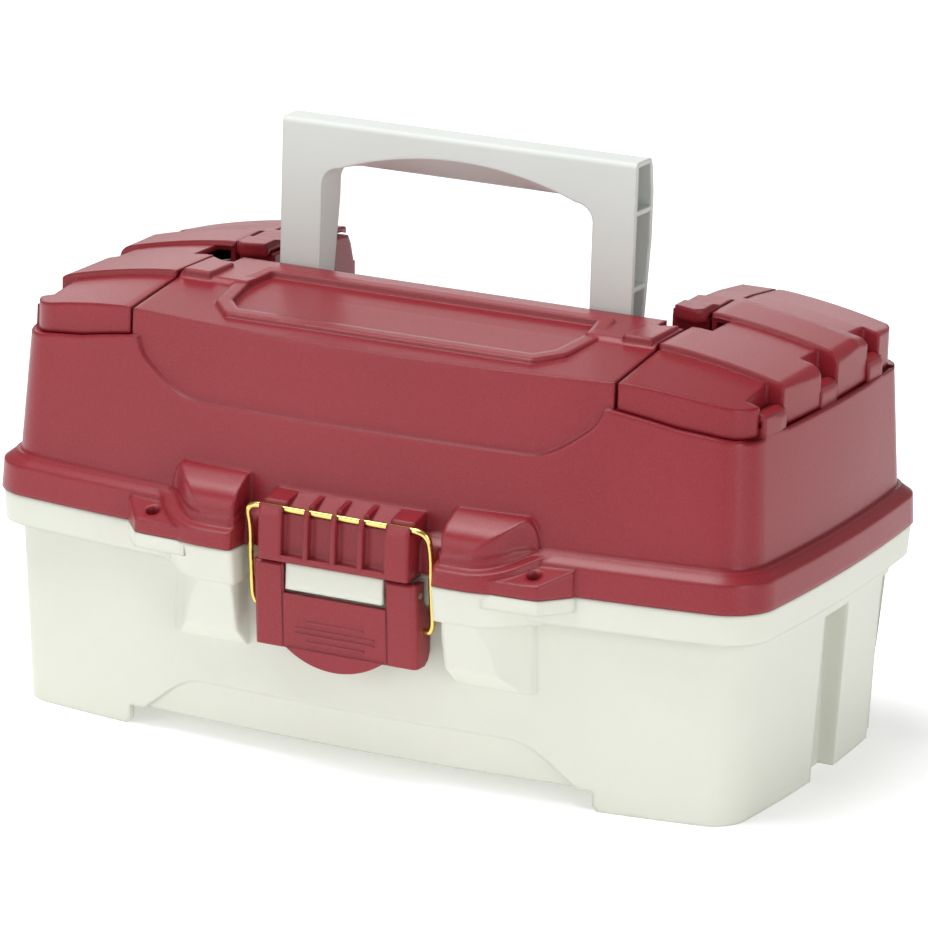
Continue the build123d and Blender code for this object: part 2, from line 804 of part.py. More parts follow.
with BuildPart() as lid_cavity:
    cavity_inset = lid_low_inset + skin
    add(drafted_block(lid_low_z - 1.0, band_inset + skin + 0.2, band_top_z, band_inset + band_draft + skin))
    add(drafted_block(band_top_z - 0.5, cavity_inset, shelf_low_z, lid_high_inset + skin + 0.8))
    with BuildPart(mode=Mode.PRIVATE) as deck_cavity:
        add(prism_along_x(deck_profile(deck_skin), skin - deck_half_width, deck_half_width - skin))
        add(bar((-120.0, 120.0), (deck_rear_y - skin, 100.0), (50.0, 230.0)), mode=Mode.SUBTRACT)
        add(deck_block(skin), mode=Mode.INTERSECT)
        with BuildPart(mode=Mode.PRIVATE) as pier_cavity:
            cavity_line = [(finger_rear_y + skin, 100.0), (finger_rear_y + skin, pier_top_z - skin)]
            cavity_line += [(hatch_rear_line[1][0], pier_top_z - skin), (tail_y - skin, pier_tail_z - skin)]
            cavity_line += [(tail_y, shelf_low_z - 1.0), (tail_y, 100.0)]
            add(prism_along_x(cavity_line, recess_half_width + skin, deck_half_width - skin))
        add(both_ends(pier_cavity.part))
        finger_pit_x = (finger_inner_x - skin, deck_half_width)
        finger_pit_y = (finger_front_y - skin - 6.0, 100.0)
        add(both_ends(bar(finger_pit_x, finger_pit_y, (finger_floor_z - skin, 230.0))), mode=Mode.SUBTRACT)
    add(deck_cavity.part)

with BuildPart() as hatch_room:
    room_x = (deck_half_width + 3.3, half_length - lid_high_inset - 11.1)
    room_plan = drafted_block(shelf_z, lid_high_inset + 4.5, 230.0, lid_high_inset + 4.5)
    with BuildPart(mode=Mode.PRIVATE) as room_box:
        add(room_plan)
        add(bar(room_x, (-120.0, 120.0), (shelf_z, 230.0)), mode=Mode.INTERSECT)
        finger_block_x = (deck_half_width, finger_outer_x - seat_gap)
        finger_block_y = (finger_notch_y + seat_gap, finger_rear_y - 1.0 - seat_gap)
        add(bar(finger_block_x, finger_block_y, (shelf_z - 1.0, finger_floor_z)), mode=Mode.SUBTRACT)
    add(both_ends(room_box.part))

bin_centre = ((bin_inner_x + bin_outer_x) / 2, (bin_front_y + bin_rear_y) / 2)
bin_size = (bin_outer_x - bin_inner_x, bin_rear_y - bin_front_y)


def rounded_bin_block(grow, low_z, high_z):
    """A block with the plan of one bin, grown on every side."""
    with BuildPart() as block:
        with BuildSketch(Plane.XY.offset(low_z)):
            with Locations(bin_centre):
                RectangleRounded(bin_size[0] + 2 * grow, bin_size[1] + 2 * grow, bin_corner_radius + grow)
        extrude(amount=high_z - low_z)
    return block.part


with BuildPart() as boss_solid:
    with BuildPart(mode=Mode.PRIVATE) as boss_band:
        high_z = shoulder_top_z
        add(
            bulge(
                pocket_half_width + 0.3,
                boss_front_y,
                boss_band_end_x,
                lid_low_z,
                boss_front_y + 1.0,
                boss_band_end_x - 2.0,
                high_z,
            )
        )
        add(under_slope(boss_band_low_z, boss_slope), mode=Mode.INTERSECT)
    add(boss_band.part)
    with BuildPart(mode=Mode.PRIVATE) as boss_shoulder:
        low_z = lid_low_z + 4.0
        high_y = boss_shoulder_y + 0.8
        add(
            bulge(
                boss_shoulder_inner_x,
                boss_shoulder_y,
                boss_shoulder_end_x,
                low_z,
                high_y,
                boss_shoulder_end_x,
                step_top_z,
            )
        )
        add(under_slope(boss_shoulder_low_z, boss_slope), mode=Mode.INTERSECT)
    add(boss_shoulder.part)
    with BuildPart(mode=Mode.PRIVATE) as dome:
        dome_top_z = dome_line[-1][1]
        low_z = lid_low_z + 4.0
        add(
            bulge(
                dome_inner_x,
                dome_front_y,
                dome_end_x,
                low_z,
                dome_front_y,
                dome_end_x,
                dome_top_z + 2.0,
            )
        )
        with BuildPart(mode=Mode.PRIVATE) as dome_side:
            with BuildSketch(Plane.YZ.offset(40.0)):
                with BuildLine():
                    Line((-70.0, 80.0), (dome_line[0][0] - 1.2, 80.0))
                    Line((dome_line[0][0] - 1.2, 80.0), dome_line[0])
                    Spline(*dome_line, tangents=((0.1, 1.0), (1.0, 0.25)))
                    Line(dome_line[-1], (-70.0, dome_top_z + 1.0))
                    Line((-70.0, dome_top_z + 1.0), (-70.0, 80.0))
                make_face()
            extrude(amount=60.0)
        add(dome_side.part, mode=Mode.INTERSECT)
        with BuildPart(mode=Mode.PRIVATE) as dome_end:
            with BuildSketch(Plane.XZ.offset(70.0)) as end_face:
                with BuildLine():
                    Line((30.0, 80.0), (30.0, dome_top_z + 3.0))
                    Line((30.0, dome_top_z + 3.0), (dome_end_x - dome_round, dome_top_z + 3.0))
                    round_x = dome_end_x + 0.2
                    ThreePointArc(
                        (dome_end_x - dome_round, dome_top_z + 3.0),
                        (round_x - 0.29 * dome_round, dome_top_z + 0.4 - 0.29 * dome_round),
                        (round_x, dome_top_z - dome_round),
                    )
                    Line((round_x, dome_top_z - dome_round), (round_x, 80.0))
                    Line((round_x, 80.0), (30.0, 80.0))
                make_face()
            extrude(amount=50.0)
        add(dome_end.part, mode=Mode.INTERSECT)
    add(dome.part)

with BuildPart() as lock_tab:
    add(plan_prism(tab_plan, lid_low_z, tab_root_z, 0))
    tab_line = [
        (-78.0, 80.0),
        (-78.0, tab_root_z),
        (-86.6, tab_root_z),
        (tab_apex_y, tab_apex_z),
        (-105.0, tab_apex_z),
    ]
    tab_line += [(-105.0, 80.0)]
    add(prism_along_x(tab_line, 50.0, 110.0), mode=Mode.INTERSECT)

with BuildPart() as keeper:
    keeper_back_y = base_pocket_y - 0.5
    keeper_line = [(-80.0, lid_low_z), (keeper_back_y, lid_low_z), (keeper_back_y, keeper_low_z)]
    keeper_line += [(keeper_front_y, keeper_low_z), (keeper_front_y, keeper_front_z - keeper_slope)]
    keeper_line.append((keeper_front_y + keeper_slope_depth, keeper_front_z))
    keeper_line += [(lid_pocket_y + 5.5, keeper_rear_z), (-80.0, keeper_rear_z)]
    add(prism_along_x(keeper_line, -keeper_half_width, keeper_half_width))
    chamfer(keeper.edges().filter_by(Axis.Z).sort_by(Axis.Y)[:2], 0.8)
    rib_places = (-keeper_window_half_width / 1.9, 0.0, keeper_window_half_width / 1.9)
    window_edges = [-keeper_window_half_width]
    for place in rib_places:
        window_edges += [place - keeper_rib / 2, place + keeper_rib / 2]
    window_edges.append(keeper_window_half_width)
    for low_x, high_x in zip(window_edges[::2], window_edges[1::2]):
        window_y = (keeper_front_y - 1.0, keeper_front_y + keeper_window_depth)
        add(bar((low_x, high_x), window_y, (keeper_window_low_z, keeper_window_high_z)), mode=Mode.SUBTRACT)
    groove_x_span = (-keeper_half_width - 1.0, keeper_half_width + 1.0)
    add(bar(groove_x_span, keeper_groove, (keeper_groove_z, keeper_rear_z + 5.0)), mode=Mode.SUBTRACT)
    channel_line = [
        (keeper_groove[1] - 0.5, keeper_groove_z + 1.0),
        (keeper_groove[1] - 0.5, keeper_rear_z + 2.0),
    ]
    channel_line += [(lid_pocket_y + 5.0, keeper_rear_z + 2.0), (lid_pocket_y + 4.0, keeper_rear_z - 0.6)]
    channel_line += [(keeper_groove[1] + 0.6, keeper_groove_z + 1.0)]
    for low_x, high_x in zip(window_edges[::2], window_edges[1::2]):
        add(prism_along_x(channel_line, low_x, high_x), mode=Mode.SUBTRACT)

with BuildPart() as ears:
    for low_y, high_y in ear_spans:
        add(rod_along_y(hatch_pin_x, hatch_pin_z, ear_radius, low_y, high_y))
        add(
            bar(
                (hatch_pin_x - ear_radius, hatch_pin_x + ear_radius),
                (low_y, high_y),
                (shelf_z, hatch_pin_z),
            )
        )
        ear_top = (hatch_pin_z - 1.0, hatch_pin_z + ear_block)
        add(bar((hatch_pin_x - ear_block, hatch_pin_x + ear_block), (low_y, high_y), ear_top))
    add(
        drafted_block(shelf_z - 1.0, lid_high_inset - 0.5, hatch_pin_z + 8.0, lid_high_inset),
        mode=Mode.INTERSECT,
    )

with BuildPart() as swing_room:
    add(rod_along_y(hatch_pin_x, hatch_pin_z, swing_radius, -65.0, 72.0))

with BuildPart() as hangers:
    hanger_y = (tray_pivot_y - hanger_half_width, tray_pivot_y + hanger_half_width)
    hanger_far_x = hanger_x + hanger_thickness
    add(bar((hanger_x, hanger_far_x), hanger_y, (tray_pivot_z, hanger_root_z[1])))
    add(rod_along_x(tray_pivot_y, tray_pivot_z, hanger_half_width, hanger_x, hanger_far_x))
    add(bar((hanger_x, half_length - lid_low_inset - 2.0), hanger_y, hanger_root_z))
    add(
        rod_along_x(
            tray_pivot_y,
            tray_pivot_z,
            tray_pin_radius + 2.4,
            tray_half_length + 0.5,
            hanger_far_x,
        )
    )

with BuildPart() as lid_knuckles:
    lid_web = [(rear_reach - band_inset - 1.0, hinge_z + 9.0), (rear_reach - band_inset - 1.0, lid_low_z)]
    lid_web += [(hinge_y, lid_low_z), (hinge_y + 1.0, hinge_z + hinge_knuckle_radius - 0.1)]
    lid_web += [(hinge_y - 2.0, hinge_z + hinge_knuckle_radius)]
    lid_knuckle_low_x = hinge_centre_x - hinge_knuckle_length / 2
    lid_knuckle_high_x = hinge_centre_x + hinge_knuckle_length / 2
    add(prism_along_x(lid_web, lid_knuckle_low_x, lid_knuckle_high_x))
    add(rod_along_x(hinge_y, hinge_z, hinge_knuckle_radius, lid_knuckle_low_x, lid_knuckle_high_x))

with BuildPart() as lugs:
    lug_inner_x = handle_half_width + lug_gap
    add(
        bar(
            (lug_inner_x, recess_half_width + 0.5),
            (deck_rear_y - 0.5, lug_rear_y),
            (shelf_z - 0.5, lug_top_z),
        )
    )

with BuildPart() as lid_shell:
    add(drafted_block(lid_low_z, band_inset, band_top_z, band_inset + band_draft))
    add(drafted_block(band_top_z, band_inset + band_draft, shoulder_top_z, shoulder_inset))
    add(drafted_block(shoulder_top_z, shoulder_inset + 0.3, step_top_z, shoulder_inset + 0.9))
    add(drafted_block(step_top_z, lid_low_inset, ledge_z, lid_high_inset))
    add(above_ledge, mode=Mode.SUBTRACT)
    add(deck_body.part)
    add(deck_frame.part)
    add(frame_hollow.part, mode=Mode.SUBTRACT)
    add(panel_cut.part, mode=Mode.SUBTRACT)
    finger_block_top = (shelf_low_z, finger_floor_z)
    block_x = (deck_half_width - 0.5, finger_outer_x - seat_gap)
    add(both_ends(bar(block_x, finger_block_y, finger_block_top)))
    add(lid_cavity.part, mode=Mode.SUBTRACT)
    add(hatch_room.part, mode=Mode.SUBTRACT)
    add(
        bar((-recess_half_width, recess_half_width), (deck_rear_y, 130.0), (shelf_z, 230.0)),
        mode=Mode.SUBTRACT,
    )
    finger_x = (finger_inner_x, finger_outer_x + 5.0)
    add(
        both_ends(bar(finger_x, (finger_front_y, finger_rear_y), (finger_floor_z, 230.0))),
        mode=Mode.SUBTRACT,
    )
    add(both_ends(swing_room.part), mode=Mode.SUBTRACT)
    add(both_ends(rounded_bin_block(bin_gap, shelf_low_z - 5.0, shelf_z + 5.0)), mode=Mode.SUBTRACT)
    add(both_ends(lugs.part))
    add(both_ends(ears.part))
    with BuildPart(mode=Mode.PRIVATE) as pads:
        pad_plan = [(pad_inner_x, pad_front_y), (deck_half_width - 1.6, pad_front_y)]
        pad_plan += [
            (deck_half_width - 1.6, pad_rear_outer_y),
            (pad_inner_x + 3.4, pad_rear_inner_y),
            (pad_inner_x, pad_rear_inner_y),
        ]
        add(plan_prism(pad_plan, deck_step_z, pad_z, 0))
        chamfer(pads.faces().sort_by(Axis.Z)[-1].edges(), 0.5)
    add(both_ends(pads.part))
    pocket_span = (-pocket_half_width, pocket_half_width)
    add(bar(pocket_span, (-120.0, lid_pocket_y), (lid_low_z - 1.0, shoulder_top_z)), mode=Mode.SUBTRACT)
    with BuildPart(mode=Mode.PRIVATE) as front_additions:
        add(both_ends(boss_solid.part))
        add(both_ends(lock_tab.part))
        add(keeper.part)
        inside = under_rim_inset + 0.6
        add(drafted_block(keeper_low_z - 5.0, inside, keeper_rear_z + 8.0, inside), mode=Mode.SUBTRACT)
    add(front_additions.part)
    add(both_ends(hangers.part))
    add(both_ends(lid_knuckles.part))
    with BuildPart(mode=Mode.PRIVATE) as lid_bores:
        near_x = lid_knuckle_low_x - 1.0
        far_x = lid_knuckle_high_x + 1.0
        add(both_ends(rod_along_x(hinge_y, hinge_z, hinge_pin_radius + running_gap, near_x, far_x)))
        near_x = tray_half_length - 1.0
        add(both_ends(rod_along_x(tray_pivot_y, tray_pivot_z, tray_pin_radius, near_x, hanger_far_x + 1.0)))
        add(
            both_ends(
                rod_along_x(
                    handle_pin_y,
                    handle_pin_z,
                    handle_pin_radius,
                    lug_inner_x - 1.0,
                    lug_inner_x + 8.0,
                )
            )
        )
        add(
            both_ends(
                rod_along_y(
                    hatch_pin_x,
                    hatch_pin_z,
                    hatch_pin_radius,
                    ear_spans[0][0] - 1.0,
                    ear_spans[-1][1] + 1.0,
                )
            )
        )
        with BuildPart(mode=Mode.PRIVATE) as lock_bore:
            with BuildSketch(Plane.XY.offset(lid_low_z - 5.0)):
                with Locations((padlock_x, padlock_y), (-padlock_x, padlock_y)):
                    Circle(padlock_radius)
            extrude(amount=tab_root_z - lid_low_z + 10.0)
        add(lock_bore.part)
    add(lid_bores.part, mode=Mode.SUBTRACT)
save("lid_shell", lid_shell.part)


# Hatch: crowned cover with a snap tongue, on three knuckles
with BuildPart() as hatch_right:
    add(crown_body(hatch_inner_x, hatch_outer_x, 0.0, 0.0))
    add(drafted_block(60.0, deck_inset + 0.1, 230.0, deck_inset + 0.1), mode=Mode.INTERSECT)
    add(above_seat, mode=Mode.INTERSECT)
    with BuildPart(mode=Mode.PRIVATE) as hatch_hollow:
        add(crown_body(hatch_inner_x + hatch_skin, hatch_outer_x - hatch_skin, hatch_skin, hatch_skin))
        hollow_inset = deck_inset + 0.1 + hatch_skin
        add(drafted_block(60.0, hollow_inset, 230.0, hollow_inset), mode=Mode.INTERSECT)
        for low_y, high_y in ear_spans:
            notch_wall_y = (low_y - ear_gap - hatch_skin, high_y + ear_gap + hatch_skin)
            notch_wall_x = (hatch_pin_x - ear_notch - hatch_skin, half_length + 5.0)
            add(bar(notch_wall_x, notch_wall_y, (100.0, 230.0)), mode=Mode.SUBTRACT)
    add(hatch_hollow.part, mode=Mode.SUBTRACT)
    with BuildPart(mode=Mode.PRIVATE) as hatch_knuckles:
        for low_ear, high_ear in zip(ear_spans, ear_spans[1:]):
            low_y = low_ear[1] + ear_gap
            high_y = high_ear[0] - ear_gap
            add(rod_along_y(hatch_pin_x, hatch_pin_z, knuckle_radius, low_y, high_y))
        add(drafted_block(100.0, deck_inset + 0.1, 230.0, deck_inset + 0.1), mode=Mode.INTERSECT)
    add(hatch_knuckles.part)
    for low_y, high_y in ear_spans:
        notch_x = (hatch_pin_x - ear_notch, half_length + 5.0)
        add(bar(notch_x, (low_y - ear_gap, high_y + ear_gap), (100.0, 230.0)), mode=Mode.SUBTRACT)
    finger_notch_x = (hatch_inner_x - 5.0, finger_outer_x)
    add(bar(finger_notch_x, (finger_notch_y, finger_rear_y - 1.0), (100.0, 230.0)), mode=Mode.SUBTRACT)
    with BuildPart(mode=Mode.PRIVATE) as tongue:
        add(crown_body(tongue_inner_x, hatch_inner_x + hatch_skin, 0.0, 0.0))
        with BuildPart(mode=Mode.PRIVATE) as tongue_under:
            add(crown_body(tongue_inner_x - 5.0, hatch_inner_x + hatch_skin + 5.0, hatch_skin, 0.0))
        add(tongue_under.part, mode=Mode.SUBTRACT)
        tongue_plan = [
            (tongue_inner_x, tongue_front_inner_y),
            (deck_half_width - 3.5, tongue_front_outer_y),
        ]
        tongue_plan += [(deck_half_width, finger_rear_y - 3.0), (deck_half_width, tongue_bridge[0])]
        tongue_plan += [(hatch_inner_x + 1.0, tongue_bridge[0]), (hatch_inner_x + 1.0, tongue_bridge[1])]
        tongue_plan += [
            (deck_half_width, tongue_bridge[1]),
            (deck_half_width, tongue_rear_y),
            (tongue_inner_x, tongue_rear_y),
        ]
        add(plan_prism(tongue_plan, 100.0, 230.0, 0), mode=Mode.INTERSECT)
        with BuildPart(mode=Mode.PRIVATE) as tongue_front:
            front_high_z = hatch_rear_line[0][1]
            front_y = (0.0, hatch_steps[1] + 1.0)
            add(bar((tongue_inner_x, deck_half_width), front_y, (front_high_z - hatch_skin, front_high_z)))
            add(plan_prism(tongue_plan, 100.0, 230.0, 0), mode=Mode.INTERSECT)
        add(tongue_front.part)
        with BuildPart(mode=Mode.PRIVATE) as ridge:
            ridge_rear_y = tongue_front_outer_y + tongue_ridge_length
            ridge_z = front_high_z + tongue_ridge_height
            ridge_line = [(0.0, front_high_z - 1.0), (0.0, ridge_z), (ridge_rear_y - 5.0, ridge_z + 0.3)]
            ridge_line += [(ridge_rear_y, front_high_z + 0.4), (ridge_rear_y, front_high_z - 1.0)]
            add(prism_along_x(ridge_line, tongue_inner_x + 0.8, deck_half_width - 0.8))
            add(plan_prism(tongue_plan, 100.0, 230.0, 0), mode=Mode.INTERSECT)
        add(ridge.part)
    add(tongue.part)
    bore_y = (ear_spans[0][0] - 1.0, ear_spans[-1][1] + 1.0)
    add(
        rod_along_y(hatch_pin_x, hatch_pin_z, hatch_pin_radius + running_gap, bore_y[0], bore_y[1]),
        mode=Mode.SUBTRACT,
    )
save("hatch_right", hatch_right.part)

with BuildPart() as hatch_left:
    mirror(hatch_right.part, about=Plane.YZ)
save("hatch_left", hatch_left.part)

with BuildPart() as hatch_pins:
    add(
        both_ends(
            rod_along_y(
                hatch_pin_x,
                hatch_pin_z,
                hatch_pin_radius,
                ear_spans[0][0] + 1.0,
                ear_spans[-1][1] - 1.0,
            )
        )
    )
save("hatch_pins", hatch_pins.part)

# Bin: open box hanging through the shelf by its flange
with BuildPart() as bin_right:
    add(rounded_bin_block(0.0, bin_floor_z, shelf_z + bin_wall))
    add(rounded_bin_block(bin_flange, shelf_z, shelf_z + bin_wall))
    add(rounded_bin_block(-bin_wall, bin_floor_z + bin_wall, shelf_z + bin_wall + 1.0), mode=Mode.SUBTRACT)
    bin_middle_y = bin_centre[1]
    wall_y = (bin_middle_y - bin_wall / 2, bin_middle_y + bin_wall / 2)
    wall_x = (bin_inner_x + bin_wall / 2, bin_outer_x - bin_wall / 2)
    add(bar(wall_x, wall_y, (bin_floor_z + bin_wall / 2, shelf_z - 1.0)))
save("bin_right", bin_right.part)

with BuildPart() as bin_left:
    mirror(bin_right.part, about=Plane.YZ)
save("bin_left", bin_left.part)

# Handle: one bar on two legs, each leg an open channel with two ribs
handle_foot_radius = handle_pin_y - handle_front_y
back_points = [(handle_pin_y + handle_foot_radius, handle_pin_z)] + list(handle_back_line)
handle_line = [(handle_front_y, handle_pin_z)] + back_points
handle_line += [(handle_back_line[-1][0] - 1.4, handle_top_z), (handle_front_y, handle_top_z)]
with BuildPart() as handle:
    with BuildSketch(Plane.YZ.offset(-handle_half_width)):
        with BuildLine():
            Line((handle_front_y, handle_pin_z), (handle_front_y, handle_top_z))
            Line((handle_front_y, handle_top_z), (handle_back_line[-1][0] - 1.4, handle_top_z))
            Line((handle_back_line[-1][0] - 1.4, handle_top_z), handle_back_line[-1])
            Polyline(*reversed(handle_back_line))
            Line(handle_back_line[0], (handle_pin_y + handle_foot_radius, handle_pin_z))
            foot_low = (handle_pin_y, handle_pin_z - handle_foot_radius)
            ThreePointArc(
                (handle_pin_y + handle_foot_radius, handle_pin_z),
                foot_low,
                (handle_front_y, handle_pin_z),
            )
        make_face()
    extrude(amount=2 * handle_half_width)
    fillet(handle.edges().filter_by(Axis.X).group_by(Axis.Z)[-1], 2.2)
    with BuildPart(mode=Mode.PRIVATE) as handle_opening:
        with BuildSketch(Plane.XZ.offset(-40.0)) as opening_face:
            with Locations((0.0, (grip_low_z + 100.0) / 2)):
                Rectangle(2 * leg_inner_x, grip_low_z - 100.0)
            fillet(opening_face.vertices().group_by(Axis.Z)[-1], grip_corner_radius)
        extrude(amount=80.0)
    add(handle_opening.part, mode=Mode.SUBTRACT)
    with BuildPart(mode=Mode.PRIVATE) as grip_scoop:
        for scoop_y, scoop_rise in (
            (handle_front_y - 0.1, grip_arch_rise),
            (handle_front_y + grip_arch_depth, 0.4),
        ):
            with BuildSketch(Plane.XZ.offset(-scoop_y)):
                with BuildLine():
                    scoop_x = leg_inner_x - grip_corner_radius
                    Line((-scoop_x, grip_low_z - 1.0), (scoop_x, grip_low_z - 1.0))
                    Line((scoop_x, grip_low_z - 1.0), (scoop_x, grip_low_z))
                    ThreePointArc(
                        (scoop_x, grip_low_z),
                        (0.0, grip_low_z + scoop_rise),
                        (-scoop_x, grip_low_z),
                    )
                    Line((-scoop_x, grip_low_z), (-scoop_x, grip_low_z - 1.0))
                make_face()
        loft(ruled=True)
    add(grip_scoop.part, mode=Mode.SUBTRACT)
    channel_spans = (
        (handle_pin_z - 8.0, handle_rib_z[0]),
        (handle_rib_z[0] + handle_wall, handle_rib_z[1]),
    )
    channel_spans += ((handle_rib_z[1] + handle_wall, handle_top_z - handle_wall),)
    channel_line = [(handle_front_y + handle_wall, 140.0), (handle_front_y + handle_wall, handle_top_z)]
    channel_line += [(handle_back_line[-1][0] - handle_wall - 0.8, handle_top_z)]
    channel_line += [(y - handle_wall, z) for y, z in reversed(handle_back_line)]
    channel_line += [(handle_pin_y + handle_foot_radius - handle_wall, handle_pin_z)]
    channel_line += [(handle_pin_y + handle_foot_radius - handle_wall, 140.0)]
    with BuildPart(mode=Mode.PRIVATE) as leg_channels:
        for low_z, high_z in channel_spans:
            with BuildPart(mode=Mode.PRIVATE) as channel:
                add(prism_along_x(channel_line, leg_inner_x + handle_wall, handle_half_width + 1.0))
                add(bar((50.0, 90.0), (-30.0, 40.0), (low_z, high_z)), mode=Mode.INTERSECT)
            add(both_ends(channel.part))
        pin_boss = rod_along_x(handle_pin_y, handle_pin_z, handle_foot_radius, 50.0, 90.0)
        add(both_ends(pin_boss), mode=Mode.SUBTRACT)
    add(leg_channels.part, mode=Mode.SUBTRACT)
    handle_bore = rod_along_x(
        handle_pin_y,
        handle_pin_z,
        handle_pin_radius + running_gap,
        leg_inner_x + handle_wall,
        90.0,
    )
    add(both_ends(handle_bore), mode=Mode.SUBTRACT)
save("handle", handle.part)

with BuildPart() as handle_pins:
    add(
        both_ends(
            rod_along_x(
                handle_pin_y,
                handle_pin_z,
                handle_pin_radius,
                leg_inner_x + handle_wall + 0.4,
                lug_inner_x + 8.0,
            )
        )
    )
save("handle_pins", handle_pins.part)

# Latch lever: leaning front plate with a window, two side flanges and a finger tab
lever_back_y = lever_front_y + lever_plate
with BuildPart() as latch_lever:
    plate_line = [(lever_front_y, lever_top_z - lever_top_slope)]
    plate_line += [(lever_front_y + lever_top_slope, lever_top_z), (lever_back_y, lever_top_z)]
    plate_line += [(lever_back_y + lever_lean, lever_low_z), (lever_front_y + lever_lean, lever_low_z)]
    add(prism_along_x(plate_line, -lever_half_width, lever_half_width))
    flange_line = [
        (lever_front_y + 0.6, lever_top_z - lever_top_slope),
        (lever_front_y + lever_top_slope, lever_top_z),
        (lever_pin_y + 3.2, lever_top_z),
        (lever_pin_y + 3.4, lever_pin_z - 4.0),
    ]
    flange_line += [(lever_rear_y, lever_pin_z - 9.0), (lever_rear_y, lever_low_z + 5.0)]
    flange_line += [
        (lever_rear_y - 1.2, lever_low_z + 1.8),
        (lever_rear_y - 4.0, lever_low_z),
        (lever_front_y + lever_lean + 0.6, lever_low_z),
    ]
    add(both_ends(prism_along_x(flange_line, lever_half_width - lever_side, lever_half_width)))
    with BuildPart(mode=Mode.PRIVATE) as lever_corner:
        lean_per_height = lever_lean / (lever_top_z - lever_low_z)
        inner_x = lever_half_width - lever_corner_radius
        for corner_z in (lever_low_z - 1.0, lever_top_z + 1.0):
            corner_y = lever_front_y + lean_per_height * (lever_top_z - corner_z)
            with BuildSketch(Plane.XY.offset(corner_z)):
                with BuildLine():
                    outer_x = lever_half_width + 1.0
                    far_y = corner_y + lever_corner_radius
                    Polyline((inner_x, corner_y), (inner_x, corner_y - 1.0), (outer_x, corner_y - 1.0))
                    Polyline((outer_x, corner_y - 1.0), (outer_x, far_y), (lever_half_width, far_y))
                    RadiusArc((lever_half_width, far_y), (inner_x, corner_y), lever_corner_radius)
                make_face()
        loft(ruled=True)
    add(both_ends(lever_corner.part), mode=Mode.SUBTRACT)
    window_x = (-lever_window_half_width, lever_window_half_width)
    add(bar(window_x, (-110.0, -60.0), (lever_window_z, lever_top_z + 5.0)), mode=Mode.SUBTRACT)
    tab_front_y = lever_front_y + lever_lean - 0.9
    with BuildSketch(Plane.XZ.offset(-tab_front_y - lever_plate)):
        with BuildLine():
            Line((-tab_half_width, lever_low_z + 0.5), (tab_half_width, lever_low_z + 0.5))
            ThreePointArc(
                (tab_half_width, lever_low_z + 0.5),
                (0.0, lever_low_z - tab_drop),
                (-tab_half_width, lever_low_z + 0.5),
            )
        make_face()
    extrude(amount=lever_plate)
    for line_z, line_half_width in grip_lines:
        line_y = lever_front_y + lever_lean * (lever_top_z - line_z) / (lever_top_z - lever_low_z)
        line_x = (-line_half_width, line_half_width)
        line_z_span = (line_z - grip_line_width / 2, line_z + grip_line_width / 2)
        add(bar(line_x, (line_y - grip_line_height, line_y + 1.0), line_z_span))
    for crease_x in (-lever_window_half_width - 0.4, lever_window_half_width + 0.4):
        crease_line = [(lever_front_y - 1.0, lever_top_z + 1.0), (lever_front_y + 0.45, lever_top_z + 1.0)]
        crease_line += [
            (lever_front_y + lever_lean + 0.45, lever_low_z - 1.0),
            (lever_front_y + lever_lean - 1.0, lever_low_z - 1.0),
        ]
        add(prism_along_x(crease_line, crease_x - 0.4, crease_x + 0.4), mode=Mode.SUBTRACT)
    lever_bore = rod_along_x(
        lever_pin_y,
        lever_pin_z,
        lever_pin_radius + running_gap,
        -lever_half_width - 1.0,
        lever_half_width + 1.0,
    )
    add(lever_bore, mode=Mode.SUBTRACT)
    eye = rod_along_x(
        bail_pivot_y,
        bail_pivot_z,
        bail_radius + running_gap,
        lever_half_width - lever_side - 1.0,
        lever_half_width + 1.0,
    )
    add(both_ends(eye), mode=Mode.SUBTRACT)
save("latch_lever", latch_lever.part)

with BuildPart() as latch_pin:
    add(
        rod_along_x(
            lever_pin_y,
            lever_pin_z,
            lever_pin_radius,
            -lever_half_width - 0.4,
            lever_half_width + 0.4,
        )
    )
save("latch_pin", latch_pin.part)

# Wire bail: one bent wire, its two ends turned in through the lever
with BuildPart() as wire_bail:
    with BuildLine() as bail_path:
        inner_x = lever_half_width - lever_side + 0.3
        half_path = [(inner_x, bail_pivot_y, bail_pivot_z), (bail_half_width, bail_pivot_y, bail_pivot_z)]
        half_path += [(bail_half_width, y, z) for y, z in bail_knees]
        half_path += [(bail_half_width, bail_bar_y, bail_bar_z)]
        mirrored_path = [(-x, y, z) for x, y, z in reversed(half_path)]
        FilletPolyline(*half_path, *mirrored_path, radius=bail_bend)
    with BuildSketch(Plane(origin=half_path[0], z_dir=(1, 0, 0))):
        Circle(bail_radius)
    sweep(transition=Transition.RIGHT)
save("wire_bail", wire_bail.part)

# Rear hinge pins
with BuildPart() as hinge_pins:
    pin_reach = 1.5 * hinge_knuckle_length + hinge_knuckle_gap
    add(
        both_ends(
            rod_along_x(
                hinge_y,
                hinge_z,
                hinge_pin_radius,
                hinge_centre_x - pin_reach,
                hinge_centre_x + pin_reach,
            )
        )
    )
save("hinge_pins", hinge_pins.part)

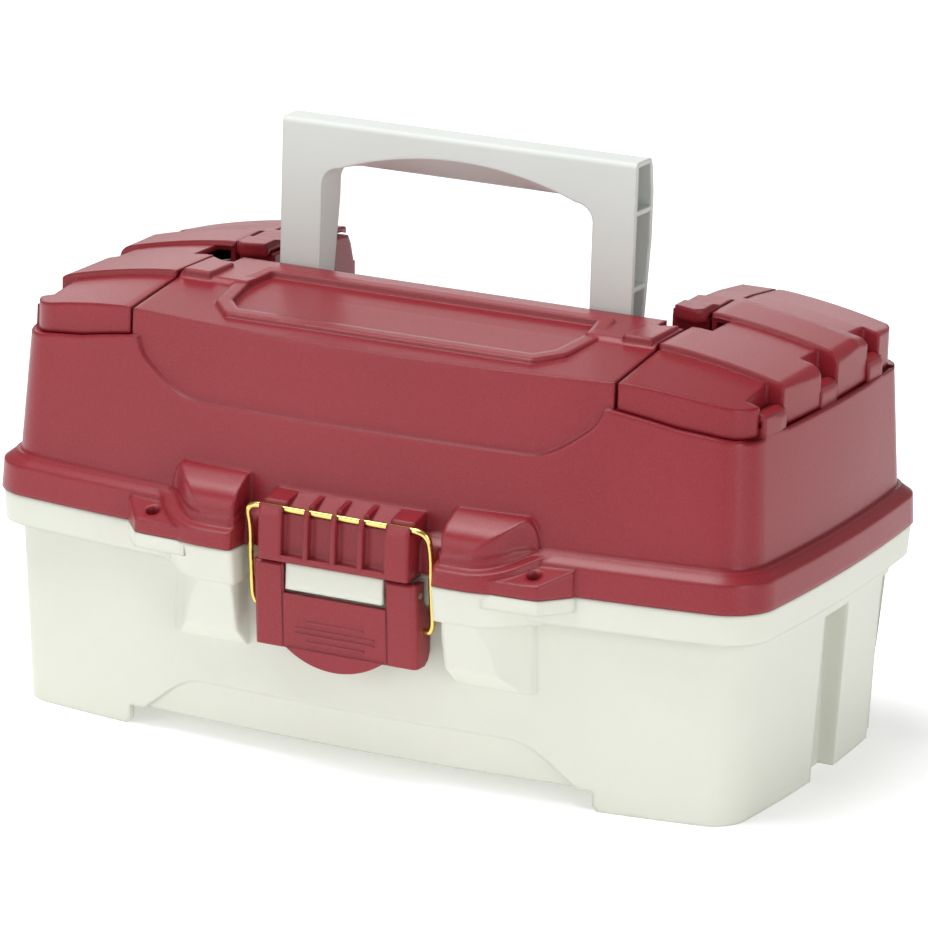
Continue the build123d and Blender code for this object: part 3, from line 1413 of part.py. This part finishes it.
# Tray with fixed walls and slots for loose dividers
tray_centre_y = (tray_front_y + tray_rear_y) / 2
with BuildPart() as tray:
    with BuildSketch(Plane.XY.offset(tray_low_z)):
        with Locations((0.0, tray_centre_y)):
            RectangleRounded(2 * tray_half_length, tray_rear_y - tray_front_y, tray_corner_radius)
    extrude(amount=tray_top_z - tray_low_z)
    with BuildSketch(Plane.XY.offset(tray_low_z + tray_floor)):
        with Locations((0.0, tray_centre_y)):
            inner_length = 2 * (tray_half_length - tray_wall)
            inner_width = tray_rear_y - tray_front_y - 2 * tray_wall
            RectangleRounded(inner_length, inner_width, tray_corner_radius - tray_wall)
    extrude(amount=tray_top_z - tray_low_z, mode=Mode.SUBTRACT)
    wall_z = (tray_low_z + tray_floor / 2, tray_top_z - 2.0)
    long_wall_y = (tray_long_wall_y - tray_wall / 2, tray_long_wall_y + tray_wall / 2)
    add(bar((1.0 - tray_half_length, tray_half_length - 1.0), long_wall_y, wall_z))
    for place in tray_cross_walls:
        wall_x = (place - tray_wall / 2, place + tray_wall / 2)
        add(bar(wall_x, (tray_front_y + tray_wall / 2, tray_long_wall_y), wall_z))
    middle_x = (-tray_wall / 2, tray_wall / 2)
    add(bar(middle_x, (tray_long_wall_y, tray_rear_y - tray_wall / 2), wall_z))
    guide_z = (tray_low_z + tray_floor / 2, tray_top_z - 2.0 * divider_drop)
    for place in divider_places:
        for side in (-1, 1):
            near = place + side * (divider_thickness / 2 + divider_gap)
            far = near + side * guide_width
            guide_x = (min(near, far), max(near, far))
            front_guide = (tray_front_y + tray_wall / 2, tray_front_y + tray_wall + guide_depth)
            rear_guide = (long_wall_y[0] - guide_depth, tray_long_wall_y)
            add(bar(guide_x, front_guide, guide_z))
            add(bar(guide_x, rear_guide, guide_z))
    tray_bore = rod_along_x(
        tray_pivot_y,
        tray_pivot_z,
        tray_pin_radius + running_gap,
        tray_half_length - 5.0,
        tray_half_length + 1.0,
    )
    add(both_ends(tray_bore), mode=Mode.SUBTRACT)
    arm_bore = rod_along_x(
        arm_tray_y,
        arm_tray_z,
        tray_pin_radius,
        tray_half_length - 5.0,
        tray_half_length + 1.0,
    )
    add(both_ends(arm_bore), mode=Mode.SUBTRACT)
save("tray", tray.part)

divider_y = (tray_front_y + tray_wall + divider_gap, long_wall_y[0] - divider_gap)
divider_z = (tray_low_z + tray_floor, tray_top_z - divider_drop)
for number, place in enumerate(divider_places, start=1):
    with BuildPart() as divider:
        divider_x = (place - divider_thickness / 2, place + divider_thickness / 2)
        add(bar(divider_x, divider_y, divider_z))
        chamfer(divider.edges().filter_by(Axis.X).group_by(Axis.Z)[-1], 2.0)
    save(f"divider_{number}", divider.part)

# Arm: flat bar between the base and the tray
with BuildPart() as arm_right:
    add(rod_along_x(arm_base_y, arm_base_z, arm_width / 2, arm_inner_x, arm_outer_x))
    add(rod_along_x(arm_tray_y, arm_tray_z, arm_width / 2, arm_inner_x, arm_outer_x))
    arm_run = arm_base_y - arm_tray_y
    arm_rise = arm_base_z - arm_tray_z
    arm_length = math.hypot(arm_run, arm_rise)
    across_y = -arm_rise / arm_length * arm_width / 2
    across_z = arm_run / arm_length * arm_width / 2
    arm_line = [
        (arm_tray_y - across_y, arm_tray_z - across_z),
        (arm_base_y - across_y, arm_base_z - across_z),
    ]
    arm_line += [
        (arm_base_y + across_y, arm_base_z + across_z),
        (arm_tray_y + across_y, arm_tray_z + across_z),
    ]
    add(prism_along_x(arm_line, arm_inner_x, arm_outer_x))
    for hole_y, hole_z in ((arm_base_y, arm_base_z), (arm_tray_y, arm_tray_z)):
        hole = rod_along_x(
            hole_y,
            hole_z,
            tray_pin_radius + running_gap,
            arm_inner_x - 1.0,
            arm_outer_x + 1.0,
        )
        add(hole, mode=Mode.SUBTRACT)
save("arm_right", arm_right.part)

with BuildPart() as arm_left:
    mirror(arm_right.part, about=Plane.YZ)
save("arm_left", arm_left.part)

# Pins: arm to base, arm to tray, tray to lid
with BuildPart() as arm_base_pins:
    with BuildPart(mode=Mode.PRIVATE) as base_pin:
        add(rod_along_x(arm_base_y, arm_base_z, tray_pin_radius, arm_inner_x - 0.5, groove_x - 0.6))
        head_x = arm_inner_x - running_gap
        add(rod_along_x(arm_base_y, arm_base_z, rivet_head_radius, head_x - rivet_head_height, head_x))
    add(both_ends(base_pin.part))
save("arm_base_pins", arm_base_pins.part)

with BuildPart() as arm_tray_pins:
    with BuildPart(mode=Mode.PRIVATE) as tray_pin:
        add(
            rod_along_x(
                arm_tray_y,
                arm_tray_z,
                tray_pin_radius,
                tray_half_length - tray_wall - 0.5,
                arm_outer_x,
            )
        )
        head_x = tray_half_length - tray_wall
        add(rod_along_x(arm_tray_y, arm_tray_z, rivet_head_radius, head_x - rivet_head_height, head_x))
    add(both_ends(tray_pin.part))
save("arm_tray_pins", arm_tray_pins.part)

with BuildPart() as tray_lid_pins:
    with BuildPart(mode=Mode.PRIVATE) as lid_pin:
        add(
            rod_along_x(
                tray_pivot_y,
                tray_pivot_z,
                tray_pin_radius,
                tray_half_length - tray_wall - 0.6,
                hanger_far_x + 0.5,
            )
        )
        add(
            rod_along_x(
                tray_pivot_y,
                tray_pivot_z,
                rivet_head_radius,
                hanger_far_x,
                hanger_far_x + rivet_head_height,
            )
        )
    add(both_ends(lid_pin.part))
save("tray_lid_pins", tray_lid_pins.part)
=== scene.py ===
# %% [markdown]
# # A lure box with a lift-up lid
#
# The real object is a plastic box about 34 cm long: a pale tub, a dark red lid with two small
# hatches over its end bins, a grey carrying handle that folds, and a latch with a brass wire.
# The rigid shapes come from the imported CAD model. This lesson dresses them: it rounds the
# moulded edges, adds the fine pieces and gives every surface the finish of the real one.
#
# Each step starts with a few sentences on what the piece is and why it is made this way.

import math

import bpy
import numpy as np
from mathutils import Matrix, Vector


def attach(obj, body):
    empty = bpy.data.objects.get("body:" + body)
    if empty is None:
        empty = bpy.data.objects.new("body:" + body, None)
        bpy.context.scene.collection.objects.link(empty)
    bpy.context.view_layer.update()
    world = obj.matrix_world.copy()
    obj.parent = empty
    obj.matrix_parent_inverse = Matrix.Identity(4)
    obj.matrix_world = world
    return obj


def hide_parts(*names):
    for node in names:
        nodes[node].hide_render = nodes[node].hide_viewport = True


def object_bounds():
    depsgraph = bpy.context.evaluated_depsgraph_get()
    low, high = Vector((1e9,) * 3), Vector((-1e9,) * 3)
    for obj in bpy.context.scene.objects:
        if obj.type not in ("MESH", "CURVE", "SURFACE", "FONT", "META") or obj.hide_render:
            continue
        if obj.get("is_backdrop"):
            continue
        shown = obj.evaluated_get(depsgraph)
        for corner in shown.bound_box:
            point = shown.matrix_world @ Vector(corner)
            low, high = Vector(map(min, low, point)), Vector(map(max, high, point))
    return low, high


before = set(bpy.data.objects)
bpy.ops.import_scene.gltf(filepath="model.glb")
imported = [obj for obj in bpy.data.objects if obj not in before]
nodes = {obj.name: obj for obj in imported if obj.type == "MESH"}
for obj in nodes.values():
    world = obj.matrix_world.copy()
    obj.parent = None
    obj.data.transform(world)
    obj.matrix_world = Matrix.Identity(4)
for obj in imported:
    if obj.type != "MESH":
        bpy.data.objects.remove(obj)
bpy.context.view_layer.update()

MM = 0.001

# %% [markdown]
# ## Camera
#
# The photograph was taken with a long lens from the front and the right, a little above the
# box, and tilted by less than two degrees. The three directions below were fitted to the
# corners of the box in the photograph. They are the columns of the camera's rotation.

# %% Camera
CAMERA_PLACE = (0.9574, -1.9436, 0.7098)
CAMERA_RIGHT = (0.8940, 0.4471, 0.0301)
CAMERA_UP = (-0.1463, 0.2278, 0.9627)
CAMERA_FORWARD = (-0.4235, 0.8650, -0.2690)
LENS_MM = 221.16
SENSOR_MM = 36.0

camera_data = bpy.data.cameras.new("camera")
camera_data.sensor_width = SENSOR_MM
camera_data.sensor_fit = "HORIZONTAL"
camera_data.lens = LENS_MM
camera_data.clip_end = 50.0
camera = bpy.data.objects.new("camera", camera_data)
back = -Vector(CAMERA_FORWARD)
turn = Matrix((CAMERA_RIGHT, CAMERA_UP, back)).transposed().to_4x4()
camera.matrix_world = Matrix.Translation(CAMERA_PLACE) @ turn
bpy.context.scene.collection.objects.link(camera)
bpy.context.scene.camera = camera

# %% [markdown]
# ## Studio
#
# The photograph is a catalogue picture: a white surround, large soft lights and hardly any
# shadow. A white world gives the even fill. A large lamp at the front left lights the front,
# one at the right lights the end, and a narrow upright one between them draws the pale line
# down each rounded corner. The strongest lamp stands high above, a little to the front and the
# left, and the rounded edges along the front catch a thin line of its light. A weak lamp behind
# lights the rear edges.

# %% Studio
WORLD_STRENGTH = 0.30
LAMP_AIM = (0.0, 0.0, 0.1)
LAMPS = {
    # name: place, width and height in metres, watts
    "front_left": ((-1.15, -2.0, 0.75), (1.3, 1.3), 12.0),
    "right": ((2.1, -0.7, 0.9), (1.2, 1.2), 9.5),
    "corner": ((1.80, -1.10, 0.70), (0.22, 1.4), 6.0),
    "top": ((-0.45, -0.35, 1.95), (1.3, 1.1), 33.0),
    "behind": ((-0.95, 1.9, 0.80), (1.5, 0.9), 6.0),
}

world = bpy.data.worlds.new("studio")
world.use_nodes = True
world_light = world.node_tree.nodes["Background"]
world_light.inputs["Color"].default_value = (1.0, 1.0, 1.0, 1.0)
world_light.inputs["Strength"].default_value = WORLD_STRENGTH
bpy.context.scene.world = world

for lamp_name, (place, (wide, high), watts) in LAMPS.items():
    lamp_data = bpy.data.lights.new(lamp_name, "AREA")
    lamp_data.shape = "RECTANGLE"
    lamp_data.size = wide
    lamp_data.size_y = high
    lamp_data.energy = watts
    lamp = bpy.data.objects.new(lamp_name, lamp_data)
    aim = Vector(LAMP_AIM) - Vector(place)
    lamp_turn = aim.to_track_quat("-Z", "Y").to_matrix().to_4x4()
    lamp.matrix_world = Matrix.Translation(place) @ lamp_turn
    bpy.context.scene.collection.objects.link(lamp)

bpy.context.scene.view_settings.view_transform = "Standard"
bpy.context.scene.view_settings.look = "None"


# %% [markdown]
# ## Surfaces from arrays
#
# Every new piece is a surface on a grid: two parameters u and v, and a point for each pair.
# The points are worked out as one array, and the faces join each point to its neighbours.

# %% Mesh helper
def grid_object(name, points, close_u=False, close_v=False):
    """A mesh object from an array of points (rows u, columns v, 3 numbers).

    Face (i, j) joins points (i, j), (i, j+1), (i+1, j+1) and (i+1, j). With close_u or
    close_v the last row or column joins the first."""
    rows, columns = points.shape[:2]
    index = np.arange(rows * columns).reshape(rows, columns)
    if close_u:
        index = np.vstack([index, index[:1]])
    if close_v:
        index = np.hstack([index, index[:, :1]])
    faces = np.stack(
        [index[:-1, :-1], index[:-1, 1:], index[1:, 1:], index[1:, :-1]], axis=-1)
    mesh = bpy.data.meshes.new(name)
    mesh.from_pydata(points.reshape(-1, 3).tolist(), [], faces.reshape(-1, 4).tolist())
    mesh.polygons.foreach_set("use_smooth", np.ones(len(mesh.polygons), bool))
    piece = bpy.data.objects.new(name, mesh)
    bpy.context.scene.collection.objects.link(piece)
    return piece


# %% [markdown]
# ## Floor
#
# A plain pale sheet lies under the box. It reaches so far that its edge never shows, and it
# glows a little, the way white paper does under lamps that stand just outside the picture.

# %% Floor
FLOOR_HALF_WIDTH = 7.0
FLOOR_POINTS = 15


def floor_points():
    """A flat square sheet: x and y run evenly from one edge to the other, and z = 0."""
    run = np.linspace(-FLOOR_HALF_WIDTH, FLOOR_HALF_WIDTH, FLOOR_POINTS)
    x, y = np.meshgrid(run, run)
    return np.stack([x, y, 0.0 * x], axis=-1)


floor = grid_object("floor", floor_points())
floor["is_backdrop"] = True
print("floor points", len(floor.data.vertices))


# %% [markdown]
# ## Moulded plastic
#
# The lid, the tub and the handle are injection moulded, and the mould was spark-eroded, which
# leaves a fine grain. Three things make such plastic look real: a colour that drifts a little,
# a roughness that varies with the grain, and a very small bump at the grain's own size. All
# three read Object coordinates, in metres, so a scale of 1000 makes one pattern per millimetre.
# The bump starts from a softened edge, because no moulded edge is sharp.

# %% Material helpers
DRIFT_WAVES = 14.0
GRAIN_WAVES = 2600.0
GRAIN_HEIGHT = 0.0001
FLECK_WAVES = 2100.0
FLECK_GAIN = 1.3
FLECK_LIFT = 0.02
LIGHT_REACH = 0.002
EDGE_SAMPLES = 8


def new_material(name):
    """A material with nodes, and its shader."""
    material = bpy.data.materials.new(name)
    material.use_nodes = True
    return material, material.node_tree, material.node_tree.nodes["Principled BSDF"]


def add_node(tree, kind, **settings):
    """One node with its properties set."""
    node = tree.nodes.new(kind)
    for key, value in settings.items():
        setattr(node, key, value)
    return node


def noise_of(tree, place, scale, detail=2.0, roughness=0.5):
    """Noise with that many waves per metre, from the Object coordinates in place."""
    noise = add_node(tree, "ShaderNodeTexNoise")
    noise.inputs["Scale"].default_value = scale
    noise.inputs["Detail"].default_value = detail
    noise.inputs["Roughness"].default_value = roughness
    tree.links.new(place, noise.inputs["Vector"])
    return noise.outputs["Fac"]


def spread(tree, value, low, high, low_in=0.3, high_in=0.7):
    """The value, mapped from low_in..high_in to low..high."""
    ramp = add_node(tree, "ShaderNodeMapRange")
    ends = {"From Min": low_in, "From Max": high_in, "To Min": low, "To Max": high}
    for key, number in ends.items():
        ramp.inputs[key].default_value = number
    tree.links.new(value, ramp.inputs["Value"])
    return ramp.outputs["Result"]


def colour_between(tree, factor, low, high):
    """Two colours mixed by factor."""
    mix = add_node(tree, "ShaderNodeMix", data_type="RGBA")
    mix.inputs["A"].default_value = (*low, 1.0)
    mix.inputs["B"].default_value = (*high, 1.0)
    tree.links.new(factor, mix.inputs["Factor"])
    return mix.outputs["Result"]


def moulded_plastic(name, deep, pale, rough, grain, edge, fleck=0.0, soft=0.0, gloss=0.5):
    """Moulded plastic: deep and pale are its two colours, rough its range of roughness, grain the
    bump's strength, edge the radius of its edges in metres, fleck the share of paler flecks as
    small as the grain, soft how much light goes under its surface, and gloss the strength of its
    reflection, where 0.5 is plain plastic."""
    material, tree, shader = new_material(name)
    shader.inputs["Specular IOR Level"].default_value = gloss
    place = add_node(tree, "ShaderNodeTexCoord").outputs["Object"]
    drift = noise_of(tree, place, DRIFT_WAVES, detail=3.0)
    fine = noise_of(tree, place, GRAIN_WAVES, detail=1.0, roughness=0.6)
    colour = colour_between(tree, spread(tree, drift, 0.0, 1.0), deep, pale)
    if fleck:
        specks = noise_of(tree, place, FLECK_WAVES, detail=0.0)
        flecks = spread(tree, specks, 0.0, fleck, low_in=0.45, high_in=0.75)
        bright = [min(1.0, FLECK_GAIN * c + FLECK_LIFT) for c in pale]
        lift = add_node(tree, "ShaderNodeMix", data_type="RGBA")
        lift.inputs["B"].default_value = (*bright, 1.0)
        tree.links.new(flecks, lift.inputs["Factor"])
        tree.links.new(colour, lift.inputs["A"])
        colour = lift.outputs["Result"]
    tree.links.new(colour, shader.inputs["Base Color"])
    tree.links.new(spread(tree, fine, *rough), shader.inputs["Roughness"])
    round_edge = add_node(tree, "ShaderNodeBevel", samples=EDGE_SAMPLES)
    round_edge.inputs["Radius"].default_value = edge
    bump = add_node(tree, "ShaderNodeBump")
    bump.inputs["Strength"].default_value = grain
    bump.inputs["Distance"].default_value = GRAIN_HEIGHT
    tree.links.new(fine, bump.inputs["Height"])
    tree.links.new(round_edge.outputs["Normal"], bump.inputs["Normal"])
    tree.links.new(bump.outputs["Normal"], shader.inputs["Normal"])
    if soft:
        shader.inputs["Subsurface Weight"].default_value = soft
        shader.inputs["Subsurface Scale"].default_value = LIGHT_REACH
    return material


# %% Plastics
RED_DEEP = (0.226, 0.0125, 0.020)
RED_PALE = (0.250, 0.0165, 0.025)
RED_ROUGH = (0.27, 0.40)
lid_plastic = moulded_plastic(
    "lid plastic", RED_DEEP, RED_PALE, RED_ROUGH,
    grain=0.16, edge=0.0024, fleck=0.4, gloss=0.40)
hatch_plastic = moulded_plastic(
    "hatch plastic", RED_DEEP, RED_PALE, RED_ROUGH,
    grain=0.16, edge=0.0022, fleck=0.4, gloss=0.34)
lever_plastic = moulded_plastic(
    "lever plastic", RED_DEEP, RED_PALE, RED_ROUGH,
    grain=0.16, edge=0.0010, fleck=0.4, gloss=0.40)
base_plastic = moulded_plastic(
    "base plastic", (0.645, 0.66, 0.58), (0.67, 0.685, 0.605), (0.38, 0.48),
    grain=0.08, edge=0.0026, soft=0.12)
handle_plastic = moulded_plastic(
    "handle plastic", (0.60, 0.63, 0.60), (0.635, 0.665, 0.635), (0.42, 0.60),
    grain=0.35, edge=0.0012)
tray_plastic = moulded_plastic(
    "tray plastic", (0.60, 0.61, 0.58), (0.65, 0.66, 0.62), (0.34, 0.48),
    grain=0.10, edge=0.0007, soft=0.08)

# %% [markdown]
# ## Metal and paper
#
# The wire and the pins are drawn metal. Drawing leaves fine scratches, which spread the light a
# little. The floor is paper: hardly any gloss, and a white that drifts by a few hundredths.

# %% Metals and paper
SCRATCH_TONE = 0.82
SCRATCH_BUMP = 0.08
SCRATCH_HEIGHT = 0.0002
PAPER_DEEP = (0.93, 0.93, 0.93)
PAPER_PALE = (0.96, 0.96, 0.96)
PAPER_WAVES = 3.0
PAPER_ROUGH = 0.9
PAPER_GLOSS = 0.1
PAPER_GLOW = 0.30


def metal(name, colour, rough, brush):
    """Drawn metal: its colour, darker in the scratches, the range of its roughness, a faint
    bump, and brush, the number of scratches per metre."""
    material, tree, shader = new_material(name)
    place = add_node(tree, "ShaderNodeTexCoord").outputs["Object"]
    marks = noise_of(tree, place, brush, detail=4.0, roughness=0.7)
    tone = [SCRATCH_TONE * c for c in colour]
    tree.links.new(colour_between(tree, marks, tone, colour), shader.inputs["Base Color"])
    tree.links.new(spread(tree, marks, *rough), shader.inputs["Roughness"])
    shader.inputs["Metallic"].default_value = 1.0
    bump = add_node(tree, "ShaderNodeBump")
    bump.inputs["Strength"].default_value = SCRATCH_BUMP
    bump.inputs["Distance"].default_value = SCRATCH_HEIGHT
    tree.links.new(marks, bump.inputs["Height"])
    tree.links.new(bump.outputs["Normal"], shader.inputs["Normal"])
    return material


brass = metal("brass wire", (0.80, 0.65, 0.20), (0.14, 0.26), brush=900.0)
steel = metal("steel pin", (0.56, 0.56, 0.57), (0.25, 0.42), brush=1200.0)

floor_finish, floor_tree, floor_shader = new_material("pale paper")
floor_place = add_node(floor_tree, "ShaderNodeTexCoord").outputs["Object"]
paper_drift = noise_of(floor_tree, floor_place, PAPER_WAVES)
paper = colour_between(floor_tree, paper_drift, PAPER_DEEP, PAPER_PALE)
floor_tree.links.new(paper, floor_shader.inputs["Base Color"])
floor_shader.inputs["Roughness"].default_value = PAPER_ROUGH
floor_shader.inputs["Specular IOR Level"].default_value = PAPER_GLOSS
floor_shader.inputs["Emission Color"].default_value = (1.0, 1.0, 1.0, 1.0)
floor_shader.inputs["Emission Strength"].default_value = PAPER_GLOW
floor.data.materials.append(floor_finish)

# %% [markdown]
# ## Finishes on the CAD nodes
#
# Each node keeps its own mesh and takes its finish by name.

# %% Dress the nodes
FINISHES = {
    "lid_shell": lid_plastic, "hatch_left": hatch_plastic, "hatch_right": hatch_plastic,
    "latch_lever": lever_plastic, "hatch_pins": lever_plastic, "bin_left": lid_plastic,
    "bin_right": lid_plastic, "base_tub": base_plastic, "handle": handle_plastic,
    "handle_pins": handle_plastic, "tray": tray_plastic, "arm_left": tray_plastic,
    "arm_right": tray_plastic, "wire_bail": brass,
}
for node_name, node in nodes.items():
    finish = FINISHES.get(node_name)
    if finish is None:
        finish = tray_plastic if node_name.startswith("divider") else steel
    node.data.materials.clear()
    node.data.materials.append(finish)

# %% [markdown]
# ## Wires and beads
#
# A wire is a circle carried along a path. Half sunk into plastic, the same surface is a moulded
# bead. The path's bends are rounded first, because neither wire nor a mould turns sharply.

# %% Wire and bead surfaces
RUN_SHARE = 0.49


def rounded_path(corners, reach, steps=14):
    """The corner points with each bend rounded.

    A bend at P starts at A and ends at B on its two straight runs. Both are at most reach away
    from P, and RUN_SHARE keeps them short of the middle of a run. The bend follows
    (1-t)^2 A + 2 t (1-t) P + t^2 B for t from 0 to 1."""
    corners = np.asarray(corners, float)
    bend = corners[1:-1]

    def towards(other):
        run = other - bend
        length = np.linalg.norm(run, axis=1, keepdims=True)
        return bend + run / length * np.minimum(reach, RUN_SHARE * length)

    start = towards(corners[:-2])[:, None]
    end = towards(corners[2:])[:, None]
    t = np.linspace(0.0, 1.0, steps)[None, :, None]
    curve = (1 - t) ** 2 * start + 2 * t * (1 - t) * bend[:, None] + t ** 2 * end
    return np.vstack([corners[:1], curve.reshape(-1, 3), corners[-1:]])


def tube_points(path, radius, across=(0.0, 1.0, 0.0), sides=24, dome=5):
    """A round tube along the path, with domed ends.

    T is the path's direction, A = across x T and B = T x A are square to it, and the point for
    the angle v is P + r (cos v A + sin v B). At each end the circle shrinks as r cos w while its
    centre moves out by r sin w, for w up to a right angle."""
    run = np.gradient(path, axis=0)
    run /= np.linalg.norm(run, axis=1, keepdims=True)
    w = np.linspace(0.0, 0.5 * np.pi, dome + 1)[1:, None]
    first = path[:1] - radius * np.sin(w) * run[:1]
    last = path[-1:] + radius * np.sin(w) * run[-1:]
    centre = np.vstack([first[::-1], path, last])
    run = np.vstack([np.repeat(run[:1], dome, axis=0), run, np.repeat(run[-1:], dome, axis=0)])
    size = radius * np.vstack([np.cos(w)[::-1], np.ones((len(path), 1)), np.cos(w)])
    side = np.cross(np.asarray(across), run)
    side /= np.linalg.norm(side, axis=1, keepdims=True)
    up = np.cross(run, side)
    v = np.linspace(0.0, 2 * np.pi, sides, endpoint=False)[None, :, None]
    ring = np.cos(v) * side[:, None] + np.sin(v) * up[:, None]
    return centre[:, None] + size[:, None] * ring


# %% [markdown]
# ## The brass wire
#
# One bent wire swings on the lever and hooks over the rib of the keeper. It is drawn wire, so
# it is perfectly round and smooth, and its light runs along it in one unbroken line.

# %% Brass wire
WIRE_RADIUS = 1.25
WIRE_BEND = 6.0
WIRE_SIDE = [
    (32.9, -89.6, 64.8), (38.9, -89.6, 64.8), (38.9, -92.6, 86.0), (38.9, -93.0, 96.0),
    (38.9, -96.9, 106.2)]
wire_right = np.array(WIRE_SIDE)
wire_left = wire_right[::-1] * (-1.0, 1.0, 1.0)
wire_path = rounded_path(np.vstack([wire_right, wire_left]), WIRE_BEND)
wire = grid_object("brass_wire", MM * tube_points(wire_path, WIRE_RADIUS), close_v=True)
wire.data.materials.append(brass)
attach(wire, "bail")
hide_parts("wire_bail")
print("wire points", len(wire.data.vertices))

# %% [markdown]
# ## Beads at the foot of the hatch steps
#
# Each hatch rises in two steps. A fine bead runs along the foot of each step and follows the
# crown of the cover, so it catches a thin line of light.

# %% Hatch beads
BEAD_RADIUS = 0.55
CROWN = [(108.0, 0.0), (130.65, -3.04), (153.3, -8.0)]
BEAD_SPAN = (105.4, 148.4)
BEAD_POINTS = 60
BEAD_SIDES = 16
BEAD_FEET = {"front": (-37.75, 174.0), "rear": (10.8, 176.65)}


def crown_drop(x):
    """How far the crown lies below its flat inner part: zero up to its start, then the circle
    through the three CROWN points, centre z plus the root of r^2 - (x - centre x)^2."""
    (x0, z0), (x1, z1), (x2, z2) = CROWN
    system = 2 * np.array([[x1 - x0, z1 - z0], [x2 - x0, z2 - z0]])
    squares = np.array([x1 ** 2 + z1 ** 2, x2 ** 2 + z2 ** 2]) - x0 ** 2 - z0 ** 2
    centre_x, centre_z = np.linalg.solve(system, squares)
    radius = math.hypot(x0 - centre_x, z0 - centre_z)
    fall = centre_z + np.sqrt(radius ** 2 - (np.maximum(x, x0) - centre_x) ** 2)
    return np.where(x < x0, 0.0, fall)


for foot, (foot_y, foot_z) in BEAD_FEET.items():
    x = np.linspace(*BEAD_SPAN, BEAD_POINTS)
    bead_path = np.stack([x, np.full_like(x, foot_y), foot_z + crown_drop(x)], axis=1)
    for hand, sign in (("left", -1.0), ("right", 1.0)):
        points = MM * tube_points(bead_path * (sign, 1.0, 1.0), BEAD_RADIUS, sides=BEAD_SIDES)
        bead = grid_object(f"hatch_bead_{foot}_{hand}", points, close_v=True)
        bead.data.materials.append(hatch_plastic)
        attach(bead, f"hatch_{hand}")
print("hatch beads", 2 * len(BEAD_FEET))

# %% Sizes, and the end
low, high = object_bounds()
